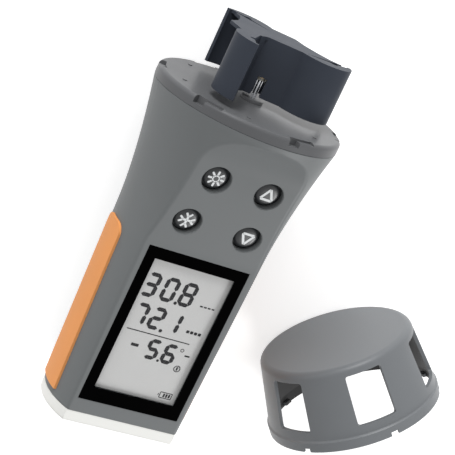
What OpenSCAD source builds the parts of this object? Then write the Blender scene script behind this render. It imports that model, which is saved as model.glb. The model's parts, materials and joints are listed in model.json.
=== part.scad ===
// Hand anemometer lying on its back, with its guard cap taken off and laid beside it.
// Every case piece is drawn upright: z = 0 is the top face of the head, z runs up the rotor
// axis, -y is the front and +x is the right side. laid() then lays the instrument down.

/* [Case] */
// Diameter of the sensor head, the widest place of the case
head_d = 66; // [64:0.5:70]
// Height of the grey case, from the top face of the head to the white base
case_h = 118.5; // [116:0.5:128]
// Diameter of the case at its lower end
foot_d = 50.8; // [49:0.2:54]
// Height of the curved flare below the head
flare_h = 44; // [36:1:50]
// Widening of the grip toward the head, on the radius for each millimetre of height
grip_taper = 0.024; // [0.015:0.001:0.03]
// Wall of the moulded case
wall = 2.2; // [1.8:0.1:2.6]
// Depth of the worn flat on the back of the head, on which the instrument lies
head_flat = 0.7; // [0.5:0.1:1.2]
// Depth of the flat on the back of the foot
foot_flat = 0.5; // [0.3:0.1:0.8]

/* [Front panel] */
// Distance from the rotor axis to the panel at its lower end
panel_y = 14.6; // [14:0.2:16]
// Lean of the lower panel, in degrees
screen_lean = 1.6; // [1:0.2:3]
// Lean of the button zone, in degrees
key_lean = 12; // [10:0.5:14]
// Depth below the head's face where the lower panel bends into the button zone
bend_depth = 50.8; // [50:0.2:53]
// Depth below the head's face where the button zone starts to sweep out
sweep_depth = 19; // [17:0.5:20]
// Radius of the sweep that brings the panel out to the head
sweep_r = 20; // [18:0.5:24]

/* [Screen] */
// Width of the black screen frame
bezel_w = 38; // [37:0.1:38.6]
// Distance of the frame's lower end above the white base
bezel_foot = 5.3; // [5:0.1:5.8]
// Distance of the frame's upper end below the bend
bend_gap = 2; // [1.6:0.1:2.4]
// Thickness of the black screen frame
bezel_t = 1.2; // [1:0.1:1.4]
// Height by which the frame stands proud of the panel
bezel_proud = 0.2; // [0.1:0.05:0.3]
// Width of the window
window_w = 30.7; // [29:0.1:31]
// Width of the frame above and below the window
window_margin = 4.6; // [4.2:0.1:5.2]
// Distance of the window's middle above the frame's middle
window_rise = 0.6; // [0:0.1:1]
// Thickness of the clear window
pane_t = 0.5; // [0.4:0.05:0.6]

/* [Buttons] */
// Diameter of a button's face
key_d = 8.6; // [7.6:0.1:9]
// Gap round a button in its hole
key_gap = 0.65; // [0.5:0.05:0.8]
// Depth of a button's face below the panel
key_sink = 0.9; // [0.7:0.1:1.1]
// Travel of a button
key_travel = 0.8; // [0.5:0.1:1]
// Distance between the two upper buttons
upper_pitch = 19.6; // [18:0.2:20.4]
// Distance between the two lower buttons
lower_pitch = 22.8; // [20:0.2:23]
// Depth of the upper row below the head's face
upper_row = 23.4; // [23:0.1:24.4]
// Depth of the lower row below the head's face
lower_row = 40.8; // [39:0.2:41]

/* [Grips] */
// Width of a grip strip round the flank
grip_w = 16; // [14:0.5:18]
// Depth of a strip's upper end below the head's face
grip_top = 52.5; // [50:0.5:58]
// Distance of a strip's lower end above the white base
grip_foot = 2.5; // [2:0.5:6]
// Height by which a strip stands proud of the case
grip_proud = 0.8; // [0.5:0.1:1]
// Depth of a strip's seat in the case
grip_seat = 0.6; // [0.4:0.1:0.8]

/* [Head plate] */
// Thickness of the head plate
plate_t = 3.6; // [3.2:0.1:4.2]
// Radius of the plate's rounded upper edge
plate_edge = 1.4; // [1:0.1:1.5]
// Width of the shadow groove between plate and case
plate_groove = 0.4; // [0.3:0.1:0.6]
// Number of bayonet slots round the rim
slot_count = 6; // [3:1:8]
// Angle of the first slot
slot_angle = 38; // [30:1:45]
// Angle that each slot's deep mouth covers
slot_mouth = 7; // [6:0.5:9]
// Angle that each slot's shallow run covers
slot_run = 11; // [9:0.5:14]
// Depth of a slot's mouth
slot_deep = 1.3; // [1.2:0.1:1.6]

/* [Rotor] */
// Height of the rotor's underside above the head plate
rotor_gap = 2.6; // [2:0.1:3]
// Height of the rotor's buckets
rotor_h = 19.6; // [18:0.2:20.4]
// Outside radius of a bucket's half ring
bucket_r = 10.2; // [9.6:0.1:10.4]
// Thickness of a bucket's wall
bucket_t = 1.3; // [1:0.1:1.5]
// Distance of a bucket's centre from the rotor axis
bucket_x = 16.75; // [16:0.05:16.9]
// Distance from the axis to a corner of the hub
hub_r = 6.8; // [6.4:0.1:7.2]
// Thickness of the cover on top of the rotor
lid_t = 1.1; // [0.8:0.1:1.4]
// Turn of the rotor at rest
rotor_turn = -5; // [-10:1:10]
// Diameter of the fixed steel pin that carries the rotor
pin_d = 2; // [1.8:0.1:2.4]
// Height of the notches under the hub
notch_h = 6.5; // [5:0.5:7.5]
// Width of the notches under the hub
notch_w = 3.2; // [2.8:0.1:3.4]

/* [Guard cap] */
// Diameter of the cap's lower band
cap_d = 64.4; // [64.2:0.1:65]
// Height of the cap
cap_h = 29; // [28.4:0.2:32]
// Height of the cap's lower band
band_h = 4; // [3.4:0.1:5]
// Step from the band in to the cap's side
band_step = 0.6; // [0.4:0.1:0.7]
// Radius at the top of the cap's side
crown_r = 28.5; // [28.3:0.1:29.4]
// Radius of the cap's rounded upper edge
crown_edge = 2.6; // [2:0.1:3]
// Wall of the cap
cap_wall = 1.2; // [1:0.05:1.3]
// Angle that a window in the cap covers
port_angle = 27; // [24:0.5:30]
// Height of a window's sill above the cap's rim
port_sill = 7.4; // [6:0.2:9]
// Height of a window's head above the cap's rim
port_head = 25.6; // [23:0.2:26]
// Number of windows, one for each bayonet slot
port_count = 6; // [3:1:8]
// Sideways place of the cap on the table
cap_x = 88.5; // [80:0.5:110]
// Lengthwise place of the cap on the table
cap_y = -95.3; // [-110:0.1:-60]
// Turn of the cap on the table
cap_turn = 38; // [20:1:50]
// Roll of the cap about its own axis
cap_roll = 28; // [0:1:59]

/* [Base] */
// Height of the white base
base_h = 4.5; // [4.2:0.1:5.5]
// Height of the spigot that plugs the base into the case
spigot_h = 4; // [3:0.2:4]
// Floor of the base
base_floor = 2.2; // [1.8:0.1:2.4]
// Height by which the base's back clears the table
base_lift = 1; // [0.8:0.1:1.4]

/* [Power] */
// Diameter of a cell
cell_d = 14.5; // [14.2:0.1:14.5]
// Length of a cell with its nub
cell_l = 50.5; // [49.5:0.1:50.5]
// Wall of the cell tray
tray_wall = 1.2; // [1:0.1:1.4]
// Distance from the rotor axis back to the cells' middle
cell_y = 6; // [5.4:0.1:6.4]

/* [Mount] */
// Diameter of the hole in the tripod insert
thread_d = 6.35; // [6.35:0.05:6.5]
// Length of the tripod insert
insert_l = 7.4; // [6:0.2:7.6]
// Depth of the tripod insert below the head's face
insert_depth = 72; // [66:1:80]

/* [Fits] */
// Running clearance on the radius of a turning or sliding fit
run_fit = 0.06; // [0.03:0.01:0.09]
// Clearance round a part that is laid in a pocket
lay_fit = 0.1; // [0.05:0.01:0.15]
// Gap between inner parts that don't touch
air = 0.3; // [0.2:0.05:0.4]

/* [Hidden] */
$fn = 96;
far = 200;
head_r = head_d / 2;
foot_r = foot_d / 2;
plate_z = plate_t + plate_groove;
lean_back = atan(((head_r - head_flat) - (foot_r - foot_flat)) / (case_h - plate_t / 2));
rest_y = head_r - head_flat + plate_t / 2 * tan(lean_back);
origin_shift = [-40.802, 49.943, 0];

// The rim line of the case: a straight grip with a flare that grows toward the head
flare_rise = head_r - foot_r - grip_taper * (case_h - plate_z);
function flare(z) = flare_rise * pow(max(0, 1 + (z + plate_z) / flare_h), 1.7);
function case_r(z) = foot_r + grip_taper * (z + case_h) + flare(z);
flare_steps = 14;
function side_line(z0, z1, grow) = [for (i = [0:flare_steps])
  let (z = z1 - (z1 - max(z0, -flare_h - plate_z)) * i / flare_steps) [case_r(z) + grow, z]];

// The screen fills the lower panel, from the base to the bend
bezel_l = case_h - bezel_foot - bend_depth - bend_gap;
bezel_depth = bend_depth + bend_gap + bezel_l / 2;
window_l = bezel_l - 2 * window_margin;

// The panel's line, seen from the side: lower panel, bend, button zone and sweep
bend_r = 20;
sweep_end = 62;
bend_y = -panel_y - (case_h - bend_depth) * tan(screen_lean);
bend_leg = bend_r * tan((key_lean - screen_lean) / 2);
sweep_y = bend_y - (bend_depth - sweep_depth) * tan(key_lean);
function bend_point(a) = [
  bend_y + bend_leg * sin(screen_lean) - bend_r * (cos(screen_lean) - cos(a)),
  -bend_depth - bend_leg * cos(screen_lean) + bend_r * (sin(a) - sin(screen_lean))];
function sweep_point(a) = [sweep_y - sweep_r * (cos(key_lean) - cos(a)),
  -sweep_depth + sweep_r * (sin(a) - sin(key_lean))];
below = case_h + 20;
panel_line = concat([[-panel_y + (below - case_h) * tan(screen_lean), -below]],
  [for (i = [0:3]) bend_point(screen_lean + (key_lean - screen_lean) * i / 3)],
  [for (i = [0:10]) sweep_point(key_lean + (sweep_end - key_lean) * i / 10)],
  [[-far / 2, -2], [-far / 2, 30], [far / 2, 30], [far / 2, -below]]);

// The panel's inner face is its outer one moved in by the wall and up by part of it
inner_rise = 0.7 * wall;
screen_t = wall * cos(screen_lean) + inner_rise * sin(screen_lean);
key_t = wall * cos(key_lean) + inner_rise * sin(key_lean);

module laid() {
  translate([origin_shift[0], origin_shift[1], rest_y * cos(lean_back)])
    rotate([lean_back - 90, 0, 0]) children();
}

// Everything behind the panel's surface, moved by an offset [y, z]
module behind_panel(offset_yz = [0, 0]) {
  translate([0, offset_yz[0], offset_yz[1]]) rotate([90, 0, 90])
    linear_extrude(height = far, center = true) polygon(panel_line);
}

// The table, seen from the instrument: everything behind its resting plane
module table(lift = 0) {
  translate([0, rest_y - lift, 0]) rotate([-lean_back, 0, 0])
    translate([-far / 2, 0, -far]) cube([far, far, 2 * far]);
}

module half(side) {
  translate([-far / 2, side > 0 ? 0 : -far, -far]) cube([far, far, 2 * far]);
}

module turned(z0, z1, grow) {
  rotate_extrude() polygon(concat([[0, z1]], side_line(z0, z1, grow),
    [[case_r(z0) + grow, z0], [0, z0]]));
}

module grip_outline(gap) {
  corner = 4;
  w = grip_w / 2 + gap;
  z0 = -case_h + grip_foot - gap;
  z1 = -grip_top + gap;
  rotate([90, 0, 90]) linear_extrude(height = far, center = true) union() {
    translate([-w, z0]) square([2 * w, z1 - z0 - corner]);
    translate([-w + corner, z0]) square([2 * (w - corner), z1 - z0]);
    for (s = [-1, 1]) translate([s * (w - corner), z1 - corner]) circle(r = corner, $fn = 32);
  }
}

module strip_ring(r_in, r_out, z0, z1) {
  difference() {
    turned(z0, z1, r_out);
    turned(z0 - 1, z1 + 1, r_in);
  }
}

// Frames on the panel: x across, y up the panel, z out of it
module on_screen(x = 0, up = 0, out = 0) {
  y = -panel_y - (case_h - bezel_depth) * tan(screen_lean);
  translate([0, y, -bezel_depth]) rotate([90 + screen_lean, 0, 0]) translate([x, up, out]) children();
}

key_mid = (upper_row + lower_row) / 2;
function key_up(row) = (key_mid - row) / cos(key_lean);
module on_keys(x = 0, up = 0, out = 0) {
  y = bend_y - (bend_depth - key_mid) * tan(key_lean);
  translate([0, y, -key_mid]) rotate([90 + key_lean, 0, 0]) translate([x, up, out]) children();
}
keys = [[-upper_pitch / 2, key_up(upper_row)], [upper_pitch / 2, key_up(upper_row)],
  [-lower_pitch / 2, key_up(lower_row)], [lower_pitch / 2, key_up(lower_row)]];

module plate(w, l, t, corner = 0) {
  if (corner > 0) {
    translate([-w / 2 + corner, -l / 2, 0]) cube([w - 2 * corner, l, t]);
    translate([-w / 2, -l / 2 + corner, 0]) cube([w, l - 2 * corner, t]);
    for (x = [-1, 1], y = [-1, 1])
      translate([x * (w / 2 - corner), y * (l / 2 - corner), 0]) cylinder(r = corner, h = t, $fn = 32);
  } else {
    translate([-w / 2, -l / 2, 0]) cube([w, l, t]);
  }
}

// Depths of the layers behind the screen and behind the buttons, measured inward
pane_in = bezel_t - bezel_proud;
glass_in = pane_in + 0.2;
lcd_back = screen_t + 1.6;
light_in = lcd_back + 0.1;
light_t = 2;
board_in = light_in + light_t + 0.1;
board_t = 1.6;
lcd_w = window_w + 1.1;
lcd_l = window_l + 1.8;
board_l = bezel_l + 2.2;
board_w = 31.6;
flange_t = 0.8;
flange_r = key_d / 2 + key_gap + 0.65;
flange_in = key_t + air;
mat_t = 1;
mat_in = flange_in + flange_t + key_travel + 0.1;
key_board_in = mat_in + mat_t;
key_board_w = 39;
key_board_l = 29;
post_r = 2;
screw_r = 1;
screw_head_r = 1.9;
screw_head_t = 1.2;
screw_l = 3;
pilot_l = screw_l + 1.4;
screen_posts = [for (x = [-12, 12], s = [-1, 1]) [x, s * (board_l / 2 - post_r)]];
key_posts = [[-key_board_w / 2 + 3.3, 0], [key_board_w / 2 - 3.3, 0],
  [0, key_board_l / 2 - 2.4], [0, -key_board_l / 2 + 2.4]];

// Screws that join the two shells, from the back
joint_x = 19.8;
joint_z = [-grip_top - 11, -case_h + 9];
joint_boss_r = 2.8;
joint_screw_r = 1.25;
joint_head_r = 2.4;
joint_head_t = 1.8;
joint_head_y = 9;
joint_tip_y = -8;

sensor_board_t = 1.6;
sensor_board_y = -13;

// Cells and their contacts
contact_t = 0.5;
contact_w = 10;
spring_l = 2.6;
spring_r = 3.4;
low_contact_z = -case_h - base_h + base_floor + contact_t;
high_contact_z = low_contact_z + cell_l + spring_l;
cell_x = cell_d / 2 + 0.9;
tray_w = 4 * cell_x - 1.8 + 2 * lay_fit + 2 * tray_wall;
tray_y0 = cell_y - cell_d / 2 - 0.4;
tray_y1 = cell_y + cell_d / 2 + lay_fit + tray_wall;
tray_z1 = high_contact_z + contact_t + tray_wall;
tray_z0 = -case_h + spigot_h + air;

// Tripod insert, flush with a spot face on the back
insert_r = 4.8;
insert_y = case_r(-insert_depth) - 0.4;
insert_boss_r = insert_r + 1.8;

// Rotor
pin_r = pin_d / 2;
cup_r = pin_r + 1.1;
boss_r = 4;
boss_h = 1.2;
pin_root = plate_t + 4.4;
cup_inset = 0.4;
cup_z = rotor_gap + notch_h - cup_inset + 0.1;
cup_h = 7;
bucket_c = [bucket_x, -0.78];
bucket_open = 155.3;
bucket_root = bucket_c + bucket_r * [cos(bucket_open), -sin(bucket_open)];
hub_corner = hub_r * [cos(43.5), -sin(43.5)];
hub_bore_r = pin_r + 0.8;
magnet_r = 0.9;
magnet_h = 4;
magnet_at = hub_corner * 0.6;

// The guard cap's resting tilt: it lies on its band and on its rounded crown
cap_r = cap_d / 2;
edge_x = crown_r - crown_edge;
edge_z = cap_h - crown_edge;
tilt_far = norm([cap_r - edge_x, edge_z - band_h]);
cap_tilt = acos(crown_edge / tilt_far) - atan2(edge_z - band_h, cap_r - edge_x);
cap_lift = cap_r * cos(cap_tilt) + band_h * sin(cap_tilt);

module rim_slots() {
  slot_in = 2.4;
  for (i = [0:slot_count - 1]) rotate([0, 0, slot_angle + 360 / slot_count * i]) {
    rotate([0, 0, -slot_mouth / 2]) translate([0, 0, -slot_deep])
      wedge(slot_mouth, slot_in, slot_deep + 1);
    rotate([0, 0, slot_mouth / 2]) translate([0, 0, -slot_deep / 2])
      wedge(slot_run, slot_in, slot_deep);
  }
}

// A sector of a ring at the rim, from angle 0 to a, as deep as in
module wedge(a, in, h) {
  rotate_extrude(angle = a) translate([head_r - in, 0]) square([in + 1, h]);
}

module head_plate() {
  neck_r = head_r - wall - 2.4;
  neck_z = -plate_z - 1.4;
  neck_t = 1.6;
  mark_r = 0.8;
  mark_h = 0.25;
  mark_at = head_r - 6.4;
  color([0.74, 0.74, 0.74]) difference() {
    union() {
      rotate_extrude() polygon(concat([[0, 0]],
        [for (a = [90:-15:0]) [head_r - plate_edge * (1 - cos(a)), plate_edge * (sin(a) - 1)]],
        [[head_r, -plate_t], [neck_r, -plate_t], [neck_r, neck_z], [neck_r - neck_t, neck_z],
         [neck_r - neck_t, -plate_t], [0, -plate_t]]));
      translate([0, 0, -pin_root]) cylinder(r = boss_r, h = pin_root + boss_h);
      for (a = [30:60:330]) rotate([0, 0, a + slot_angle]) translate([mark_at, 0, -plate_t / 2])
        cylinder(r = mark_r, h = plate_t / 2 + mark_h, $fn = 24);
    }
    rim_slots();
    table();
    translate([0, 0, -pin_root + 1]) cylinder(r = pin_r, h = far);
    probe_hole();
  }
}

// The temperature probe looks out through the front slot's floor
probe_r = 1.1;
probe_at = head_r - wall - 5.6;
module probe_hole() {
  rotate([0, 0, -slot_angle]) translate([probe_at, 0, -plate_t - 1])
    cylinder(r = probe_r, h = plate_t - 1, $fn = 48);
}

module temperature_probe() {
  color([0.2, 0.2, 0.2]) rotate([0, 0, -slot_angle]) translate([probe_at, 0, -plate_t - 6])
    cylinder(r = probe_r - run_fit, h = plate_t + 4 - lay_fit, $fn = 48);
}

module case_solid() {
  difference() {
    intersection() {
      turned(-case_h, -plate_z, 0);
      behind_panel();
    }
    table();
    for (s = [-1, 1]) intersection() {
      strip_ring(-grip_seat, 5, -case_h - 1, -grip_top + 2);
      grip_outline(lay_fit);
      translate([s > 0 ? 0 : -far, -far, -far]) cube([far, 2 * far, 2 * far]);
    }
  }
}

module case_hollow() {
  intersection() {
    turned(-case_h - 1, -plate_z + 1, -wall);
    behind_panel([wall, inner_rise]);
  }
}

module joint_screws_at() {
  for (x = [-joint_x, joint_x], z = joint_z) translate([x, 0, z]) rotate([-90, 0, 0]) children();
}

module front_shell() {
  color([0.45, 0.45, 0.44]) difference() {
    union() {
      difference() {
        intersection() {
          case_solid();
          half(-1);
        }
        case_hollow();
      }
      intersection() {
        union() {
          joint_screws_at() translate([0, 0, -far / 8])
            cylinder(r = joint_boss_r, h = far / 8, $fn = 32);
          for (p = screen_posts) on_screen(p[0], p[1], -board_in)
            cylinder(r = post_r, h = board_in - 0.5, $fn = 32);
          for (p = key_posts) on_keys(p[0], p[1], -key_board_in)
            cylinder(r = post_r, h = key_board_in - 1, $fn = 32);
        }
        turned(-case_h, -plate_z, -1);
        behind_panel([0.9, 0]);
      }
    }
    on_screen(0, 0, -pane_in) plate(bezel_w + 2 * lay_fit, bezel_l + 2 * lay_fit, 5);
    on_screen(0, window_rise, -screen_t - 1) plate(window_w + 2 * air, window_l + 2 * air, 5);
    for (k = keys) on_keys(k[0], k[1], -key_t - 2) cylinder(r = key_d / 2 + key_gap, h = 8);
    joint_screws_at() translate([0, 0, joint_tip_y - 0.5])
      cylinder(r = joint_screw_r, h = 20, $fn = 32);
    for (p = screen_posts) on_screen(p[0], p[1], -board_in - 1)
      cylinder(r = screw_r, h = pilot_l, $fn = 32);
    for (p = key_posts) on_keys(p[0], p[1], -key_board_in - 1)
      cylinder(r = screw_r, h = pilot_l, $fn = 32);
  }
}

module rear_shell() {
  rib_t = 1.6;
  rib_x = 9;
  spot_r = insert_r + 1.4;
  color([0.43, 0.43, 0.42]) difference() {
    union() {
      difference() {
        intersection() {
          case_solid();
          half(1);
        }
        case_hollow();
      }
      intersection() {
        union() {
          joint_screws_at() translate([0, 0, 0.1]) cylinder(r = joint_boss_r, h = far / 8, $fn = 32);
          for (x = [-rib_x, rib_x]) translate([x - rib_t / 2, tray_y1, tray_z0])
            cube([rib_t, 20, tray_z1 - tray_z0]);
          translate([0, tray_y1 + lay_fit, -insert_depth]) rotate([-90, 0, 0])
            cylinder(r = insert_boss_r, h = 20);
        }
        turned(-case_h, -plate_z, -1);
      }
    }
    joint_screws_at() translate([0, 0, -1]) cylinder(r = joint_screw_r + 0.2, h = 30, $fn = 32);
    joint_screws_at() translate([0, 0, joint_head_y - joint_head_t])
      cylinder(r = joint_head_r + 0.2, h = 30, $fn = 32);
    translate([0, insert_y - insert_l, -insert_depth]) rotate([-90, 0, 0])
      cylinder(r = insert_r, h = 20);
    translate([0, insert_y, -insert_depth]) rotate([-90, 0, 0]) cylinder(r = spot_r, h = 20);
  }
}

module tripod_insert() {
  color([0.78, 0.62, 0.3]) translate([0, insert_y - insert_l, -insert_depth]) rotate([-90, 0, 0])
    difference() {
      cylinder(r = insert_r - 0.02, h = insert_l - 0.05);
      translate([0, 0, -1]) cylinder(r = thread_d / 2, h = insert_l + 2);
    }
}

module housing_screws() {
  cross_l = 3;
  cross_w = 0.6;
  color([0.6, 0.6, 0.62]) joint_screws_at() {
    translate([0, 0, joint_tip_y])
      cylinder(r = joint_screw_r - 0.02, h = joint_head_y - joint_head_t - joint_tip_y, $fn = 32);
    translate([0, 0, joint_head_y - joint_head_t]) difference() {
      cylinder(r = joint_head_r, h = joint_head_t, $fn = 32);
      for (a = [0, 90]) rotate([0, 0, a]) translate([-cross_l / 2, -cross_w / 2, joint_head_t - 0.8])
        cube([cross_l, cross_w, 2]);
    }
  }
}

// The base's inner outline: the case's D shaped hollow, drawn in by a gap
module spigot_outline(gap) {
  intersection() {
    circle(r = case_r(-case_h) - wall - gap);
    translate([-far / 2, -panel_y + screen_t + gap]) square([far, far]);
  }
}

module base_cap() {
  rim = case_r(-case_h);
  edge = 1;
  spigot_t = 1.4;
  groove = 0.8;
  color([0.9, 0.9, 0.88]) difference() {
    union() {
      difference() {
        intersection() {
          translate([0, 0, -case_h - base_h]) rotate_extrude() polygon([[0, 0], [rim - edge - 0.1, 0],
            [rim - 0.1, edge], [rim, base_h], [0, base_h]]);
          behind_panel();
        }
        table(base_lift);
      }
      translate([0, 0, -case_h - 1]) linear_extrude(height = spigot_h + 1)
        spigot_outline(run_fit + 0.04);
    }
    translate([0, 0, -case_h - base_h + base_floor]) linear_extrude(height = far)
      spigot_outline(run_fit + spigot_t);
    difference() {
      translate([0, 0, -case_h + spigot_h / 2]) linear_extrude(height = groove) spigot_outline(-1);
      translate([0, 0, -case_h]) linear_extrude(height = spigot_h) spigot_outline(run_fit + groove);
    }
  }
}

module base_gasket() {
  color([0.1, 0.1, 0.1]) translate([0, 0, -case_h + spigot_h / 2 + 0.05]) difference() {
    linear_extrude(height = 0.7) spigot_outline(run_fit);
    translate([0, 0, -1]) linear_extrude(height = 3) spigot_outline(run_fit + 0.7);
  }
}

module grip(side) {
  color([0.91, 0.52, 0.22]) difference() {
    intersection() {
      strip_ring(-grip_seat + run_fit, grip_proud, -case_h - 1, -grip_top + 2);
      grip_outline(0);
      translate([side > 0 ? 0 : -far, -far, -far]) cube([far, 2 * far, 2 * far]);
    }
    table();
  }
}

module bezel() {
  color([0.05, 0.05, 0.05]) on_screen(0, 0, -pane_in + 0.02) difference() {
    plate(bezel_w, bezel_l, bezel_t - 0.02);
    translate([0, window_rise, -1]) plate(window_w, window_l, 5);
    translate([0, window_rise, -1]) plate(window_w + 1.7, window_l + 1.7, 1 + pane_t);
  }
}

module window_pane() {
  color([0.85, 0.9, 0.9, 0.4]) on_screen(0, window_rise, -pane_in + 0.01)
    plate(window_w + 1.6, window_l + 1.6, pane_t - 0.03);
}

module lcd_panel() {
  color([0.76, 0.76, 0.74]) {
    on_screen(0, window_rise, -lcd_back) plate(lcd_w, lcd_l, lcd_back - screen_t - 0.05);
    on_screen(0, window_rise, -screen_t - 0.2)
      plate(window_w + 0.2, window_l + 0.2, screen_t + 0.2 - glass_in);
  }
}

module backlight() {
  color([0.93, 0.93, 0.9]) on_screen(0, window_rise, -light_in - light_t)
    plate(lcd_w - 0.4, lcd_l - 0.4, light_t);
}

module main_board() {
  color([0.1, 0.35, 0.2]) {
    on_screen(0, 0, -board_in - board_t) difference() {
      plate(board_w, board_l, board_t);
      for (p = screen_posts) translate([p[0], p[1], -1]) cylinder(r = screw_r + 0.15, h = 5, $fn = 32);
    }
    on_screen(-3, -8, -board_in - board_t - 1.5) plate(11, 11, 1.55);
    on_screen(8, 12, -board_in - board_t - 1.2) plate(7, 5, 1.25);
    on_screen(-8, 14, -board_in - board_t - 2) cylinder(r = 3, h = 2.05, $fn = 32);
  }
}

module button(i) {
  k = keys[i];
  dome = 0.35;
  plunger_r = 1.6;
  color([0.2, 0.2, 0.2]) on_keys(k[0], k[1], 0) {
    rotate_extrude() polygon(concat([[0, -flange_in - flange_t], [flange_r, -flange_in - flange_t],
      [flange_r, -flange_in], [key_d / 2, -flange_in], [key_d / 2, -key_sink - dome - 0.4]],
      [for (j = [0:5]) [key_d / 2 * cos(j * 18) - 0.3 * (1 - j / 5),
        -key_sink - dome + dome * sin(j * 18)]]));
    translate([0, 0, -flange_in - flange_t - 0.7]) cylinder(r = plunger_r, h = 0.8, $fn = 32);
  }
}

module button_mat() {
  ring_r = 4.2;
  hole_r = 2.2;
  color([0.6, 0.6, 0.6]) on_keys(0, 0, -mat_in - mat_t) difference() {
    union() {
      plate(key_board_w - 10.6, key_board_l - 9.6, mat_t, 2);
      for (k = keys) translate([k[0], k[1], 0]) cylinder(r = ring_r, h = mat_t, $fn = 32);
    }
    for (k = keys) translate([k[0], k[1], -1]) cylinder(r = hole_r, h = 4, $fn = 32);
  }
}

module button_board() {
  color([0.1, 0.35, 0.2]) on_keys(0, 0, -key_board_in - board_t) difference() {
    plate(key_board_w, key_board_l, board_t, 2);
    for (p = key_posts) translate([p[0], p[1], -1]) cylinder(r = screw_r + 0.15, h = 5, $fn = 32);
  }
}

module small_screw() {
  translate([0, 0, -screw_head_t]) cylinder(r = screw_head_r, h = screw_head_t, $fn = 32);
  translate([0, 0, -0.1]) cylinder(r = screw_r - 0.03, h = board_t + screw_l + 0.1, $fn = 32);
}

module board_screws() {
  color([0.7, 0.7, 0.72]) {
    for (p = screen_posts) on_screen(p[0], p[1], -board_in - board_t) small_screw();
    for (p = key_posts) on_keys(p[0], p[1], -key_board_in - board_t) small_screw();
  }
}

// Flat cables from the main board to the button board, and on to the sensors in the head
module flex_cables() {
  cable_t = 0.3;
  lap = 3;
  low_cable_w = 7.4;
  head_cable_w = 6;
  head_cable_x = 5;
  tongue = 2;
  z_low = -bezel_depth + board_l / 2;
  z_key = -key_mid - key_board_l / 2 * cos(key_lean);
  z_top = -key_mid + key_board_l / 2 * cos(key_lean);
  z_head = -plate_t - sensor_board_t - run_fit;
  y_head = sensor_board_y + 1;
  color([0.75, 0.5, 0.2]) {
    translate([screw_head_r + air, 0, 0]) rotate([90, 0, 90]) linear_extrude(height = low_cable_w) polygon([
      [main_back(z_low - lap), z_low - lap], [main_back(z_low), z_low], [key_back(z_key), z_key],
      [key_back(z_key + lap), z_key + lap], [key_back(z_key + lap) + cable_t, z_key + lap],
      [key_back(z_key) + cable_t, z_key], [main_back(z_low) + cable_t, z_low],
      [main_back(z_low - lap) + cable_t, z_low - lap]]);
    translate([head_cable_x, 0, 0]) rotate([90, 0, 90]) linear_extrude(height = head_cable_w) polygon([
      [key_back(z_top - lap), z_top - lap], [key_back(z_top), z_top], [y_head, z_head],
      [y_head + tongue, z_head], [y_head + tongue, z_head - cable_t], [y_head + cable_t, z_head - cable_t],
      [key_back(z_top) + cable_t, z_top], [key_back(z_top - lap) + cable_t, z_top - lap]]);
  }
}
function main_back(z) = -panel_y - (case_h + z) * tan(screen_lean)
  + (board_in + board_t) / cos(screen_lean) + run_fit;
function key_back(z) = bend_y - (bend_depth + z) * tan(key_lean)
  + (key_board_in + board_t) / cos(key_lean) + run_fit;

module sensor_board() {
  left = 9;
  board_w = 20;
  chip = [5, 4, 1.2];
  chip_at = [-3, 3];
  color([0.1, 0.35, 0.2]) {
    translate([-left, sensor_board_y, -plate_t - sensor_board_t])
      cube([board_w, -boss_r - run_fit - sensor_board_y, sensor_board_t]);
    translate([chip_at[0], sensor_board_y + chip_at[1], -plate_t - sensor_board_t - chip[2]])
      cube([chip[0], chip[1], chip[2] + sensor_board_t / 2]);
  }
}

module cell(s) {
  nub_r = 2.7;
  nub_l = 1.2;
  end = s > 0 ? high_contact_z - cell_l : low_contact_z;
  color([0.2, 0.24, 0.3]) translate([s * cell_x, cell_y, end]) {
    translate([0, 0, s > 0 ? 0 : nub_l]) cylinder(r = cell_d / 2, h = cell_l - nub_l);
    translate([0, 0, s > 0 ? cell_l - nub_l - 0.1 : 0]) cylinder(r = nub_r, h = nub_l + 0.1, $fn = 48);
  }
}

module battery_tray() {
  inner = tray_w - 2 * tray_wall;
  color([0.12, 0.12, 0.12]) difference() {
    translate([-tray_w / 2, tray_y0, tray_z0]) cube([tray_w, tray_y1 - tray_y0, tray_z1 - tray_z0]);
    difference() {
      translate([-inner / 2, tray_y0 - 1, tray_z0 - 1])
        cube([inner, tray_y1 - tray_y0 - tray_wall + 1, high_contact_z + contact_t - tray_z0 + 1]);
      translate([-0.6, cell_y, tray_z0]) cube([1.2, cell_d, tray_z1 - tray_z0]);
    }
  }
}

module contact_spring() {
  difference() {
    cylinder(r = spring_r, h = spring_l, $fn = 48);
    translate([0, 0, -1]) cylinder(r = spring_r - 0.8, h = spring_l + 2, $fn = 48);
  }
}

module top_contacts() {
  color([0.8, 0.8, 0.8]) {
    for (s = [-1, 1]) translate([s * cell_x - contact_w / 2, cell_y - contact_w / 2, high_contact_z])
      cube([contact_w, contact_w, contact_t - 0.02]);
    translate([-cell_x, cell_y, high_contact_z - spring_l]) contact_spring();
  }
}

module base_contacts() {
  color([0.8, 0.8, 0.8]) {
    translate([-cell_x - contact_w / 2, cell_y - contact_w / 2, low_contact_z - contact_t])
      cube([2 * cell_x + contact_w, contact_w, contact_t - 0.02]);
    translate([cell_x, cell_y, low_contact_z - 0.05]) contact_spring();
  }
}

// One bucket of the rotor, in its own frame: the tip of its wall points along +x
module bucket_plan() {
  difference() {
    translate(bucket_c) circle(r = bucket_r);
    translate(bucket_c) circle(r = bucket_r - bucket_t);
    polygon([bucket_c, bucket_c + 40 * [1, 0], bucket_c + 40 * [1, 1], bucket_c + 40 * [-1, 1],
      bucket_c + 40 * [cos(bucket_open), -sin(bucket_open)]]);
  }
  bar(hub_corner * 0.8,
    bucket_c + (bucket_r - bucket_t / 2) * [cos(bucket_open), -sin(bucket_open)], bucket_t);
}

// A straight web from a to b
module bar(a, b, t) {
  translate(a) rotate(atan2(b[1] - a[1], b[0] - a[0])) translate([0, -t / 2]) square([norm(b - a), t]);
}

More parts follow.
